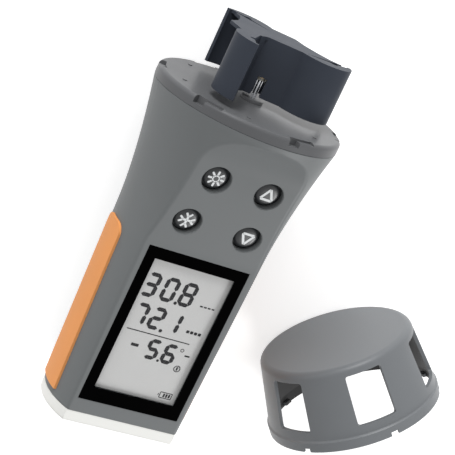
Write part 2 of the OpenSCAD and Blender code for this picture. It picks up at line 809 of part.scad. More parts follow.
// The cover's petal over the deep part of a bucket, with its round keyhole end
keyhole = [19.7, -4.1];
module petal_plan() {
  difference() {
    intersection() {
      translate(bucket_c) circle(r = bucket_r - bucket_t / 2);
      polygon([bucket_root + [-0.6, 0.2], keyhole, bucket_c + [bucket_r + 1, -0.2],
        bucket_c + [bucket_r + 1, -bucket_r - 1], bucket_c + [-bucket_r - 1, -bucket_r - 1]]);
    }
    translate(keyhole) circle(r = 1.3, $fn = 32);
  }
}

// The wider cover over two of the three buckets
module gusset_plan() {
  next_wall = bucket_r - bucket_t / 2;
  next_c = [bucket_c[0] * cos(120) - bucket_c[1] * sin(120),
    bucket_c[0] * sin(120) + bucket_c[1] * cos(120)];
  polygon([hub_corner, bucket_root, [23.4, -1.3], [19.5, 0.4], [16.1, 3.5], [12.6, 8.2], [10.4, 13.9],
    next_c + next_wall * [cos(12), sin(12)], next_c + next_wall * [cos(35), -sin(35)], [0, 0]]);
}

module hub_plan() {
  polygon([for (i = [0:2]) hub_r * [cos(120 * i - 43.5), sin(120 * i - 43.5)]]);
}

module walls_plan() {
  hub_plan();
  for (i = [0:2]) rotate(120 * i) bucket_plan();
}

module rotor() {
  color([0.28, 0.3, 0.34]) translate([0, 0, rotor_gap]) rotate([0, 0, rotor_turn]) difference() {
    union() {
      linear_extrude(height = rotor_h - lid_t) walls_plan();
      translate([0, 0, rotor_h - lid_t]) linear_extrude(height = lid_t) union() {
        walls_plan();
        for (i = [0:2]) rotate(120 * i) petal_plan();
        for (i = [0:1]) rotate(120 * i) gusset_plan();
      }
    }
    translate([0, 0, -1]) cylinder(r = hub_bore_r, h = notch_h + 1 - cup_inset / 2);
    translate([0, 0, notch_h - cup_inset]) cylinder(r = cup_r, h = cup_h + 0.2);
    for (i = [0:2]) rotate([0, 0, 120 * i]) {
      rotate([0, 0, 16.5]) translate([0, -notch_w / 2, -1]) cube([hub_r, notch_w, notch_h + 1]);
      translate([magnet_at[0], magnet_at[1], -1]) cylinder(r = magnet_r, h = magnet_h + 1, $fn = 32);
    }
  }
}

module bearing_cup() {
  color([0.8, 0.65, 0.35]) translate([0, 0, cup_z]) difference() {
    cylinder(r = cup_r - 0.02, h = cup_h);
    translate([0, 0, -1]) cylinder(r = pin_r + run_fit, h = cup_h);
  }
}

module rotor_magnets() {
  color([0.3, 0.3, 0.32]) rotate([0, 0, rotor_turn]) for (i = [0:2]) rotate([0, 0, 120 * i])
    translate([magnet_at[0], magnet_at[1], rotor_gap + 0.1])
      cylinder(r = magnet_r - 0.02, h = magnet_h - 0.15, $fn = 32);
}

module rotor_pin() {
  pin_top = cup_z + cup_h - 1.3;
  color([0.8, 0.8, 0.82]) translate([0, 0, -pin_root + 1.05]) {
    cylinder(r = pin_r - 0.01, h = pin_top + pin_root - 1.05);
  }
}

module thrust_washer() {
  color([0.92, 0.9, 0.82]) translate([0, 0, cup_z - 1.1]) difference() {
    cylinder(r = hub_bore_r - 0.1, h = 1);
    translate([0, 0, -1]) cylinder(r = pin_r, h = 3);
  }
}

module guard_cap() {
  inner = [cap_r - cap_wall, crown_r - cap_wall - 0.1];
  side_r = cap_r - band_step;
  lug_a = 6;
  lug_at = -25;
  rim_notch_at = 8;
  rim_notch_w = 3;
  rim_notch_h = 1.6;
  color([0.42, 0.42, 0.42])
  translate([origin_shift[0] + cap_x, origin_shift[1] + cap_y, cap_lift]) rotate([0, 0, cap_turn])
  rotate([-90 - cap_tilt, 0, 0]) rotate([0, 0, cap_roll]) difference() {
    union() {
      rotate_extrude() polygon(concat([[0, cap_h]],
        [for (a = [90:-15:0]) [edge_x + crown_edge * cos(a), edge_z + crown_edge * sin(a)]],
        [[side_r, band_h + 0.3], [cap_r, band_h], [cap_r, 0], [inner[0], 0], [inner[0], band_h],
         [side_r - cap_wall, band_h], [inner[1], edge_z], [edge_x, cap_h - cap_wall],
         [0, cap_h - cap_wall]]));
      for (i = [0:port_count - 1]) rotate([0, 0, 360 / port_count * i + lug_at])
        translate([0, 0, -1]) rotate_extrude(angle = lug_a) translate([inner[0] + 0.1, 0])
          square([cap_wall - 0.2, 1.6]);
    }
    for (i = [0:port_count - 1]) rotate([0, 0, 360 / port_count * i]) {
      rotate([0, 0, -port_angle / 2]) translate([0, 0, port_sill]) rotate_extrude(angle = port_angle)
        translate([cap_r - 12, 0]) square([14, port_head - port_sill]);
      rotate([0, 0, rim_notch_at]) translate([cap_r - 4, -rim_notch_w / 2, -0.01])
        cube([6, rim_notch_w, rim_notch_h]);
    }
  }
}

laid() head_plate();
laid() front_shell();
laid() rear_shell();
laid() base_cap();
laid() base_gasket();
laid() tripod_insert();
laid() grip(-1);  // grip_left
laid() grip(1);  // grip_right
laid() bezel();
laid() window_pane();
laid() lcd_panel();
laid() backlight();
laid() main_board();
laid() button(0);  // button_light
laid() button(1);  // button_up
laid() button(2);  // button_mode
laid() button(3);  // button_down
laid() button_mat();
laid() button_board();
laid() board_screws();
laid() housing_screws();
laid() flex_cables();
laid() sensor_board();
laid() temperature_probe();
laid() battery_tray();
laid() cell(1);  // battery_a
laid() cell(-1);  // battery_b
laid() top_contacts();
laid() base_contacts();
laid() rotor();
laid() bearing_cup();
laid() rotor_magnets();
laid() rotor_pin();
laid() thrust_washer();
guard_cap();
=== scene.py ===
# %% [markdown]
# # Dressing a hand anemometer for its photograph
# The instrument lies on its back, with its guard cap taken off and laid beside it. The packed
# CAD model comes first and stays as it is: it says where each piece sits and what moves. The
# cells below model one visible piece at a time over it, then mix the finishes, and last set
# up the table, the lamps and the camera. Run the cells in order and read what they print.

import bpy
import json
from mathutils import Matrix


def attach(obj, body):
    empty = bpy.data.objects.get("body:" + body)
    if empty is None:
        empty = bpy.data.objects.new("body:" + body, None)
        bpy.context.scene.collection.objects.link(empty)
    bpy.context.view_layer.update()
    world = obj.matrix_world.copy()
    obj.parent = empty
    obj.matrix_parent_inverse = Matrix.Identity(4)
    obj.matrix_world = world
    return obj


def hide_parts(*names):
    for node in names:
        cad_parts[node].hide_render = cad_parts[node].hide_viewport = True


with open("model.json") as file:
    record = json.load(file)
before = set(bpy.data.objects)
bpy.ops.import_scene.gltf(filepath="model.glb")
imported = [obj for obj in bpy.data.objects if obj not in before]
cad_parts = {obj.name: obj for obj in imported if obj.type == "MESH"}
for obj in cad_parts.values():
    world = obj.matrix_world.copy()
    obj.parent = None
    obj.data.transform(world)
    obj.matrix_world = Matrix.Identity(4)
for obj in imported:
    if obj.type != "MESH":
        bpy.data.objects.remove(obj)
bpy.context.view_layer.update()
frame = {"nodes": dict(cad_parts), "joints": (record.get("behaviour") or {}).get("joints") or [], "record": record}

# %% [markdown]
# ## Working upright, in millimetres
# A lying case is awkward to model, because none of its lines runs along an axis. So each piece
# is made as if the instrument stood upright: z = 0 is the top face of the head, z runs up the
# rotor's axis, -y is the front. One matrix then lays it down. The rotor's joint in the frame
# gives that matrix, since the joint's axis is the upright z and its pivot is 12 mm up it.

# %% Find where the CAD laid the instrument
import math

import bmesh
import bpy
from mathutils import Matrix, Vector

PIVOT_HEIGHT, MM_PER_M = 0.012, 1000
spin = next(joint for joint in frame["joints"] if joint["name"] == "rotor_spin")
spin_axis = Vector(spin["axis"])
LEAN = math.atan2(spin_axis.z, spin_axis.y)
head_face = Vector(spin["pos_m"]) - spin_axis * PIVOT_HEIGHT
MILLIMETRES = Matrix.Scale(1 / MM_PER_M, 4)
LAID = (Matrix.Translation(head_face) @ Matrix.Rotation(LEAN - math.pi / 2, 4, "X")
        @ MILLIMETRES)
print("lean of the back, degrees:", round(math.degrees(LEAN), 3))

# %% [markdown]
# ## The sizes that the pieces share
# These repeat the CAD's own sizes. Two of them are curves: the rim of the case, which is a
# gently tapered grip with a flare toward the head, and the front panel, which is a flat, a
# short bend, a second flat that leans more, and a sweep that runs out to the head.

# %% Name the sizes of the case
HEAD_R, FOOT_R, CASE_H = 33.0, 25.4, 118.5
FLARE_H, FLARE_POWER, GRIP_TAPER, WALL = 44.0, 1.7, 0.024, 2.2
PLATE_T, PLATE_GROOVE, HEAD_FLAT = 3.6, 0.4, 0.7
CASE_TOP = -PLATE_T - PLATE_GROOVE
PANEL_Y, SCREEN_LEAN, KEY_LEAN = 14.6, math.radians(1.6), math.radians(12)
BEND_DEPTH, BEND_R, SWEEP_DEPTH, SWEEP_R = 50.8, 20.0, 19.0, 20.0
FLARE_RISE = HEAD_R - FOOT_R - GRIP_TAPER * (CASE_H + CASE_TOP)
REST_Y = HEAD_R - HEAD_FLAT + PLATE_T / 2 * math.tan(LEAN)
BEND_Y = PANEL_Y + (CASE_H - BEND_DEPTH) * math.tan(SCREEN_LEAN)
SWEEP_Y = BEND_Y + (BEND_DEPTH - SWEEP_DEPTH) * math.tan(KEY_LEAN)
BEND_LEG = BEND_R * math.tan((KEY_LEAN - SCREEN_LEAN) / 2)
BEND_LOW = -BEND_DEPTH - BEND_LEG * math.cos(SCREEN_LEAN)
BEND_HIGH = BEND_LOW + BEND_R * (math.sin(KEY_LEAN) - math.sin(SCREEN_LEAN))


def case_radius(z):
    """Radius of the case at the height z."""
    flare = FLARE_RISE * max(0.0, 1 + (z - CASE_TOP) / FLARE_H) ** FLARE_POWER
    return FOOT_R + GRIP_TAPER * (z + CASE_H) + flare


def panel_depth(z):
    """Distance of the front panel from the rotor's axis at the height z."""
    if z > -SWEEP_DEPTH:
        turn = math.asin(math.sin(KEY_LEAN) + (z + SWEEP_DEPTH) / SWEEP_R)
        return SWEEP_Y + SWEEP_R * (math.cos(KEY_LEAN) - math.cos(turn))
    if z > BEND_HIGH:
        return BEND_Y + (z + BEND_DEPTH) * math.tan(KEY_LEAN)
    straight = PANEL_Y + (min(z, BEND_LOW) + CASE_H) * math.tan(SCREEN_LEAN)
    if z <= BEND_LOW:
        return straight
    turn = math.asin(math.sin(SCREEN_LEAN) + (z - BEND_LOW) / BEND_R)
    return straight + BEND_R * (math.cos(SCREEN_LEAN) - math.cos(turn))


print("case radius at foot, waist and head:",
      [round(case_radius(z), 2) for z in (-CASE_H, -60, CASE_TOP)])

# %% [markdown]
# The screen and the buttons sit square on the leaning panel. Each piece could be turned by
# itself, but one matrix for each of the panel's two flats does it once for all.

# %% Place the screen's and the buttons' own axes on the panel
SCREEN_DEPTH, KEY_MID, UPPER_KEYS, LOWER_KEYS = 83.0, 32.1, 23.4, 40.8
ON_SCREEN = (Matrix.Translation((0, -panel_depth(-SCREEN_DEPTH), -SCREEN_DEPTH))
             @ Matrix.Rotation(math.pi / 2 + SCREEN_LEAN, 4, "X"))
ON_KEYS = (Matrix.Translation((0, -panel_depth(-KEY_MID), -KEY_MID))
           @ Matrix.Rotation(math.pi / 2 + KEY_LEAN, 4, "X"))
KEY_UP = (LOWER_KEYS - UPPER_KEYS) / 2 / math.cos(KEY_LEAN)
KEYS = {"light": (-9.8, KEY_UP), "up": (9.8, KEY_UP),
        "mode": (-11.4, -KEY_UP), "down": (11.4, -KEY_UP)}
print("panel's distance from the axis at the screen and the buttons:",
      round(panel_depth(-SCREEN_DEPTH), 2), round(panel_depth(-KEY_MID), 2))

# %% [markdown]
# ## Small helpers for solids
# Most pieces start as one of four shapes: a line spun about the axis, a sector of a ring, a
# flat slab, or a sheet that is given a back. Each helper uses Blender's own mesh operators
# and returns a closed mesh. An open sheet that is extruded as a whole keeps its first faces,
# so the result has a front, a back and a rim.

# %% Make spun shapes and sectors
NEAR = 1e-4


def moved_verts(result):
    """The vertices among what an operator returned."""
    return [item for item in result["geom"] if isinstance(item, bmesh.types.BMVert)]


def turned(profile, steps=144, closed=False):
    """Spins a line of (radius, height) points about the z axis."""
    bm = bmesh.new()
    line = [bm.verts.new((radius, 0, height)) for radius, height in profile]
    ends = line[1:] + (line[:1] if closed else [])
    edges = [bm.edges.new(pair) for pair in zip(line, ends)]
    bmesh.ops.spin(bm, geom=line + edges, cent=(0, 0, 0), axis=(0, 0, 1),
                   angle=math.tau, steps=steps, use_merge=True)
    bmesh.ops.remove_doubles(bm, verts=bm.verts, dist=NEAR)
    bmesh.ops.recalc_face_normals(bm, faces=bm.faces)
    return bm


def sector(inner, outer, low, high, start, sweep, steps=8):
    """A part of a ring, from the angle start on, in degrees."""
    bm = bmesh.new()
    bm.faces.new([bm.verts.new((radius, 0, height)) for radius, height in
                  ((inner, low), (outer, low), (outer, high), (inner, high))])
    bmesh.ops.rotate(bm, verts=bm.verts, matrix=Matrix.Rotation(math.radians(start), 3, "Z"))
    bmesh.ops.spin(bm, geom=bm.verts[:] + bm.edges[:] + bm.faces[:], cent=(0, 0, 0),
                   axis=(0, 0, 1), angle=math.radians(sweep), steps=steps)
    bmesh.ops.recalc_face_normals(bm, faces=bm.faces)
    return bm


print("a sector has", len(sector(1, 2, 0, 1, 0, 30).faces), "faces")

# %% [markdown]
# Plates, panes and cutters are slabs. A single face that is raised and then bevelled gives
# cleaner corners than a scaled cube, because only the wanted edges are rounded.

# %% Make slabs and round their edges
def raised(bm, height):
    """Gives flat faces a thickness along z."""
    grown = bmesh.ops.extrude_face_region(bm, geom=bm.faces[:])
    bmesh.ops.translate(bm, vec=(0, 0, height), verts=moved_verts(grown))
    bmesh.ops.recalc_face_normals(bm, faces=bm.faces)
    return bm


def softened(bm, edges, offset, segments=3):
    """Rounds the given edges."""
    bmesh.ops.bevel(bm, geom=edges, offset=offset, segments=segments, profile=0.5,
                    affect="EDGES", clamp_overlap=True, material=-1)
    return bm


def level_edges(bm, height):
    """The edges that lie at one height."""
    return [edge for edge in bm.edges
            if all(abs(vert.co.z - height) < 10 * NEAR for vert in edge.verts)]


def slab(width, length, low, high, corner=0.0):
    """A flat plate with rounded corners, between the heights low and high."""
    bm = bmesh.new()
    bmesh.ops.create_grid(bm, x_segments=1, y_segments=1, size=0.5)
    bmesh.ops.scale(bm, vec=(width, length, 1), verts=bm.verts)
    bmesh.ops.translate(bm, vec=(0, 0, low), verts=bm.verts)
    if corner:
        bmesh.ops.bevel(bm, geom=bm.verts[:], offset=corner, segments=6, profile=0.5,
                        affect="VERTICES", material=-1)
    return raised(bm, high - low)


def placed(bm, matrix):
    """Moves a whole mesh."""
    bmesh.ops.transform(bm, matrix=matrix, verts=bm.verts)
    return bm


print("a slab has", len(slab(2, 3, 0, 1, 0.2).faces), "faces")

# %% [markdown]
# ## Cutting holes
# Slots and windows are cut with Blender's exact Boolean, which works on objects. Spare
# objects carry the meshes through the modifier, and the result comes back as a mesh to go
# on with.

# %% Cut one mesh with others
scene = bpy.context.scene


def as_object(name, bm):
    """Turns a finished mesh into an object of the scene."""
    mesh = bpy.data.meshes.new(name)
    bm.to_mesh(mesh)
    bm.free()
    thing = bpy.data.objects.new(name, mesh)
    scene.collection.objects.link(thing)
    return thing


def carved(bm, tools, operation="DIFFERENCE"):
    """Cuts the tools out of a mesh, or joins or crosses them with it."""
    things = [as_object("spare", mesh) for mesh in (bm, *tools)]
    for tool in things[1:]:
        cut = things[0].modifiers.new("cut", "BOOLEAN")
        cut.object, cut.operation, cut.solver = tool, operation, "EXACT"
    result = bmesh.new()
    result.from_object(things[0], bpy.context.evaluated_depsgraph_get())
    for thing in things:
        bpy.data.meshes.remove(thing.data)
    return result


trial = carved(slab(4, 4, 0, 1), [slab(1, 1, -1, 2)])
print("a slab with a hole has", len(trial.faces), "faces")
trial.free()

# %% [markdown]
# ## Socket sums
# A finish is a small network of nodes. Written out link by link it is hard to read, so a
# Signal stands for one output socket and takes part in sums: each sum adds its Math node.

# %% Wrap sockets so that they can be added and multiplied
class Signal:
    """The output of a node, for use in sums."""

    def __init__(self, network, socket):
        self.network, self.socket = network, socket

    def math(self, operation, first, second):
        return self.network.node("ShaderNodeMath", {"operation": operation},
                                 {0: first, 1: second})

    def __add__(self, other):
        return self.math("ADD", self, other)

    def __radd__(self, other):
        return self.math("ADD", other, self)

    def __sub__(self, other):
        return self.math("SUBTRACT", self, other)

    def __mul__(self, other):
        return self.math("MULTIPLY", self, other)

    def __rmul__(self, other):
        return self.math("MULTIPLY", other, self)


print("a Signal:", Signal.__doc__)

# %% [markdown]
# Every node comes from one method, which sets the node up and then feeds its sockets. The
# short methods below it are the few kinds of node that the finishes here need.

# %% Make nodes with one method
class Network:
    """A node tree with one method that makes its nodes."""

    def __init__(self, tree):
        self.tree = tree

    def feed(self, socket, value):
        if isinstance(value, Signal):
            self.tree.links.new(value.socket, socket)
        else:
            socket.default_value = value

    def node(self, kind, settings, inputs, output=0):
        made = self.tree.nodes.new(kind)
        for name, value in settings.items():
            setattr(made, name, value)
        for name, value in inputs.items():
            self.feed(made.inputs[name], value)
        return Signal(self, made.outputs[output])

    def place(self):
        return self.node("ShaderNodeTexCoord", {}, {}, "Object")

    def noise(self, size):
        """Noise whose patches are about size millimetres across."""
        return self.node("ShaderNodeTexNoise", {}, {
            "Vector": self.place(), "Scale": MM_PER_M / size}, "Fac")

    def mixed(self, factor, first, second):
        """A colour between two others."""
        return self.node("ShaderNodeMix", {"data_type": "RGBA"},
                         {0: factor, 6: first, 7: second}, 2)

    def seen(self):
        """1 for rays that the camera, a gloss or clear plastic sends straight out."""
        parts = [self.node("ShaderNodeLightPath", {}, {}, "Is " + kind + " Ray")
                 for kind in ("Camera", "Glossy", "Transmission")]
        return parts[0].math("MINIMUM", parts[0] + parts[1] + parts[2], 1.0)

    def bump(self, height, depth):
        """A normal for a relief that is depth millimetres deep."""
        return self.node("ShaderNodeBump", {}, {
            "Height": height, "Strength": 1.0, "Distance": depth / MM_PER_M})


trial = bpy.data.node_groups.new("trial", "ShaderNodeTree")
(Network(trial).noise(5) - 0.5) * 2 + 1
print("one noise and three sums make", len(trial.nodes), "nodes")
bpy.data.node_groups.remove(trial)

# %% [markdown]
# ## Finishes
# Plain moulded plastic is never one flat colour. The mould's spark-eroded wall leaves a fine
# grain, gloss changes a little from place to place, and the colour drifts by a few per cent.
# An image of plastic would do too, but a recipe with sizes in millimetres stays sharp at any
# distance and fits every piece.

# %% Mix a moulded, rubbery or metallic finish
def srgb(*levels):
    """A colour read from a picture, from 0 to 255, as the light that shaders use."""
    return tuple((level / 255) ** 2.2 for level in levels) + (1.0,)


def tinted(colour, factor):
    """The same colour, darker or lighter."""
    return tuple(min(1.0, part * factor) for part in colour[:3]) + (1.0,)


def opened(material):
    """The network of a material, and the sockets of its shader."""
    material.use_nodes = True
    tree = material.node_tree
    return Network(tree), tree.nodes["Principled BSDF"].inputs


def finish(name, colour, roughness, drift=0.06, patch=12.0, grain=0.3, depth=0.004,
           fixed=(), spread=0.08):
    """A procedural finish: colour drift, fine relief and changing gloss."""
    material = bpy.data.materials.new(name)
    network, shader = opened(material)
    cloud, fine = network.noise(patch), network.noise(grain)
    network.feed(shader["Base Color"],
                 network.mixed(cloud, tinted(colour, 1 - drift), tinted(colour, 1 + drift)))
    network.feed(shader["Roughness"], roughness + (cloud - 0.5) * spread + (fine - 0.5) * spread)
    network.feed(shader["Normal"], network.bump(fine, depth))
    for socket, value in dict(fixed).items():
        shader[socket].default_value = value
    return material


SHEEN = "Specular IOR Level"
LCD_DARK = finish("lcd_dark", srgb(22, 20, 23), 0.6, 0.05, 4, 0.2, 0.001, {SHEEN: 0.1})
ICON_WHITE = finish("icon_white", srgb(226, 229, 230), 0.45, 0.04, 2, 0.15, 0.002)
print("nodes in one finish:", len(ICON_WHITE.node_tree.nodes))

# %% [markdown]
# ### The finishes of this instrument
# Each row gives a slot of the record, a colour as read from the photograph, and then the
# roughness, the drift, the size of the patches and of the grain, and the grain's depth. The
# head and the screen's frame are smoother than the case and get less of a sheen. The window
# is clear: a low alpha lets the display show, and its gloss still catches the lamps.

# %% Fill the table of finishes
METAL = {"Metallic": 1.0}
RECIPES = (
    ("case_grey", (110, 113, 114), 0.48, 0.03, 16, 0.28, 0.006, {SHEEN: 0.25}),
    ("head_grey", (94, 95, 97), 0.34, 0.03, 14, 0.35, 0.001, {SHEEN: 0.15}),
    ("cap_grey", (116, 119, 122), 0.38, 0.04, 15, 0.3, 0.002, {SHEEN: 0.3}),
    ("rotor_grey", (62, 66, 74), 0.42, 0.06, 9, 0.3, 0.003, {SHEEN: 0.04}),
    ("base_white", (240, 240, 236), 0.42, 0.02, 14, 0.3, 0.004),
    ("grip_orange", (236, 156, 90), 0.62, 0.05, 10, 0.22, 0.012),
    ("frame_black", (5, 5, 6), 0.22, 0.1, 12, 0.3, 0.001, {SHEEN: 0.01}),
    ("button_black", (42, 44, 46), 0.36, 0.08, 3, 0.2, 0.003),
    # seal_black also serves as the painted shade inside the guard cap
    ("seal_black", (26, 26, 27), 0.6, 0.1, 4, 0.2, 0.006),
    ("probe_black", (34, 34, 36), 0.5, 0.1, 1, 0.1, 0.004),
    ("tray_black", (38, 38, 40), 0.5, 0.08, 8, 0.3, 0.006),
    ("mat_grey", (150, 150, 148), 0.66, 0.06, 5, 0.25, 0.008),
    ("diffuser_white", (236, 238, 232), 0.5, 0.03, 8, 0.3, 0.004),
    ("cell_blue", (46, 66, 104), 0.35, 0.12, 6, 0.4, 0.004),
    ("cable_amber", (186, 118, 48), 0.4, 0.16, 2, 0.3, 0.004),
    ("washer_white", (226, 222, 206), 0.45, 0.05, 1, 0.1, 0.002),
    ("lcd_grey", (208, 208, 207), 0.6, 0.02, 9, 0.2, 0.001),
    ("brass", (214, 174, 104), 0.3, 0.08, 3, 0.12, 0.004, METAL),
    ("screw_steel", (178, 180, 184), 0.3, 0.1, 1.5, 0.1, 0.004, METAL),
    ("pin_steel", (206, 208, 212), 0.2, 0.06, 1.5, 0.08, 0.002, METAL),
    ("contact_nickel", (196, 194, 186), 0.26, 0.08, 2, 0.15, 0.003, METAL),
    ("magnet_grey", (120, 120, 124), 0.35, 0.1, 1, 0.1, 0.004, METAL),
    ("window_clear", (150, 152, 154), 0.06, 0.01, 20, 2.0, 0.0005, {"Alpha": 0.05}, 0.02),
)
FINISHES = {name: finish(name, srgb(*levels), *rest) for name, levels, *rest in RECIPES}
print(len(FINISHES), "finishes for the record's slots")

# %% [markdown]
# ### A finish with a pattern of its own
# The boards carry copper tracks under green lacquer. Real tracks run straight and square, so
# the track mask takes the edges of a brick pattern.

# %% Mix the circuit board
def board_finish():
    """Green lacquer over straight copper tracks."""
    material = finish("board_green", srgb(34, 92, 62), 0.38)
    network, shader = opened(material)
    tracks = network.node("ShaderNodeTexBrick", {"offset": 0.5}, {
        "Vector": network.place(), "Scale": MM_PER_M / 6, "Mortar Size": 0.035,
        "Brick Width": 0.9, "Row Height": 0.4}, "Fac")
    lacquer = network.mixed(network.noise(7), srgb(26, 80, 52), srgb(40, 104, 70))
    network.feed(shader["Base Color"], network.mixed(tracks, lacquer, srgb(92, 150, 98)))
    network.feed(shader["Normal"], network.bump(tracks, 0.03))
    return material


FINISHES["board_green"] = board_finish()
print("finishes with the board and the marks:", len(FINISHES) + 2)

# %% [markdown]
# ## Handing a piece over
# A finished mesh is moved to its place, smoothed where its faces meet gently, and tied to
# the CAD: the body that it rides on, the CAD nodes that it stands for, and the slot that its
# finish comes from. The weighted normals keep broad flats flat beside their rounded edges.

# %% Turn a mesh into a piece of the part
def piece(name, bm, body, slot, nodes=(), place=LAID, sharp=32, material=None):
    """Makes the object for a finished mesh and ties it to the frame."""
    placed(bm, place)
    for face in bm.faces:
        face.smooth = True
    for edge in bm.edges:
        edge.smooth = edge.calc_face_angle(0.0) < math.radians(sharp)
    thing = as_object(name, bm)
    thing.data.materials.append(material or FINISHES[slot])
    thing.modifiers.new("flats stay flat", "WEIGHTED_NORMAL").keep_sharp = True
    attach(thing, body)
    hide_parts(*nodes)
    print(name, "-", len(thing.data.vertices), "vertices")
    return thing

# %% [markdown]
# ## The front of the case
# The front half is one moulding: a round flank on each side, a panel between them, and a
# soft edge where they meet. Cutting a spun body with a panel would leave that edge sharp, so
# this skin is lofted from a grid instead. Each row of the grid is a height, and the rows
# crowd together where the skin curves.

# %% Choose the rows of the case skin
END_ROUND, SOFT_EDGE, EDGE_SPAN, LEAST_HALF = 0.2, 0.8, 1.0, 2.4
FOOT_STEPS, TOP_STEPS = (0, 0.08, 0.2, 0.35, 2.5), (1.1, 0.7, 0.35, 0.2, 0.08, 0)
GRIP_START, GRIP_STEP, GRIP_ROWS, BEND_STEPS, KEY_STEP, KEY_ROWS = 9, 8, 7, 5, 2.5, 11
SWEEP_TURNS = range(14, 62, 2)


def rows_of_case():
    """Heights of the rows, close together where the skin curves."""
    foot = [-CASE_H + step for step in FOOT_STEPS]
    grip = [-CASE_H + GRIP_START + GRIP_STEP * step for step in range(GRIP_ROWS)]
    bend = [BEND_LOW + (BEND_HIGH - BEND_LOW) * step / BEND_STEPS
            for step in range(BEND_STEPS + 1)]
    keys = [BEND_HIGH + KEY_STEP * step for step in range(1, KEY_ROWS + 1)]
    sweep = [-SWEEP_DEPTH + SWEEP_R * (math.sin(math.radians(turn)) - math.sin(KEY_LEAN))
             for turn in SWEEP_TURNS]
    top = [CASE_TOP - step for step in TOP_STEPS]
    return sorted(foot + grip + bend + keys + [-SWEEP_DEPTH] + sweep + top)


ROWS = rows_of_case()
print(len(ROWS), "rows; closest", round(min(b - a for a, b in zip(ROWS, ROWS[1:])), 3))

# %% [markdown]
# A column is a place round the section: on the flank, at the soft edge or on the panel. The
# point comes from the two curves above. A soft minimum rounds the corner between them, more
# evenly than a bevel could along an edge that sweeps.

# %% Choose the columns and find each point of the front
FLANK_STEPS, EDGE_STEPS, PANEL_STEPS, INNER_DROP = 24, 4, 8, 0.7


def columns_of_front():
    """(kind, place, side) of each column, from the left split line to the right one."""
    flank = [("flank", step / FLANK_STEPS) for step in range(FLANK_STEPS)]
    edge = [("edge", EDGE_SPAN * (1 - step / EDGE_STEPS)) for step in range(2 * EDGE_STEPS + 1)]
    panel = [("panel", 1 - step / PANEL_STEPS) for step in range(1, PANEL_STEPS)]
    left = [(kind, place, -1) for kind, place in flank + edge + panel]
    return left + [("panel", 0.0, 1)] + [(k, p, 1) for k, p, _ in reversed(left)]


def end_round(z):
    """How far the rounded ends of the case draw in at the height z."""
    gap = min(z + CASE_H, CASE_TOP - z)
    rest = max(0.0, END_ROUND - gap)
    return END_ROUND - math.sqrt(END_ROUND ** 2 - rest ** 2)


def soft_min(first, second, span):
    """The lesser of two lengths, with the corner between them rounded."""
    near = max(span - abs(first - second), 0.0) / max(span, NEAR)
    return min(first, second) - near * near * span / 4


def skin_radius(z, inset):
    """Radius of the skin's outer side, or of its inner side when there is an inset."""
    return case_radius(z) - (inset or end_round(z))


COLUMNS = columns_of_front()


def front_point(row, column, inset):
    """A point of the front, on the outer side or inset by the wall."""
    z = ROWS[row]
    radius = skin_radius(z, inset)
    depth = panel_depth(z - INNER_DROP * inset) - inset
    half = max(math.sqrt(max(radius ** 2 - depth ** 2, 0.0)), LEAST_HALF)
    kind, place, side = COLUMNS[column]
    beside = math.asin((half + EDGE_SPAN) / radius)
    x = {"flank": radius * math.sin(math.pi / 2 * (1 - place) + beside * place),
         "edge": half + place, "panel": (half - EDGE_SPAN) * place}[kind]
    arc = math.sqrt(max(radius ** 2 - x ** 2, 0.0))
    return Vector((side * x, -soft_min(depth, arc, 0 if inset else SOFT_EDGE), z))


print(len(COLUMNS), "columns")

# %% [markdown]
# A moulding has a wall. A Solidify modifier would give one too, but it moves every point
# along its normal and can fold over in the sweep. So the grid is extruded as a sheet first,
# and each point's twin gets a place of its own.

# %% Loft a skin with an inner side
def skin(rows, columns, point):
    """A closed shell whose outer and inner sides are point(row, column, inset)."""
    bm = bmesh.new()
    bmesh.ops.create_grid(bm, x_segments=columns - 1, y_segments=rows - 1, size=0.5)
    inner = set(moved_verts(bmesh.ops.extrude_face_region(bm, geom=bm.faces[:])))
    for vert in bm.verts:
        column = round((vert.co.x + 0.5) * (columns - 1))
        row = round((vert.co.y + 0.5) * (rows - 1))
        vert.co = point(row, column, WALL if vert in inner else 0.0)
    bmesh.ops.recalc_face_normals(bm, faces=bm.faces)
    return bm


front = skin(len(ROWS), len(COLUMNS), front_point)
print("front skin:", len(front.faces), "faces, volume", round(front.calc_volume()), "mm3")

# %% [markdown]
# ### The rubber strips and their seats
# A strip starts as a flat outline. Two insets draw its softened rim, cuts along it let it
# bend, and the last step wraps it round the flank. The same function makes the seat's cutter.

# %% Wrap a strip round the flank
GRIP_HALF, GRIP_LOW, GRIP_HIGH, GRIP_CORNER = 7.0, -CASE_H + 2.5, -52.5, 4.0
STRIP_FLOOR, STRIP_EDGE, STRIP_RINGS = -0.5, 0.15, ((0.3, 0.4), (1.2, 0.8))
SEAT_GAP, SEAT_FLOOR, SEAT_TOP = 0.1, -0.6, 3.0


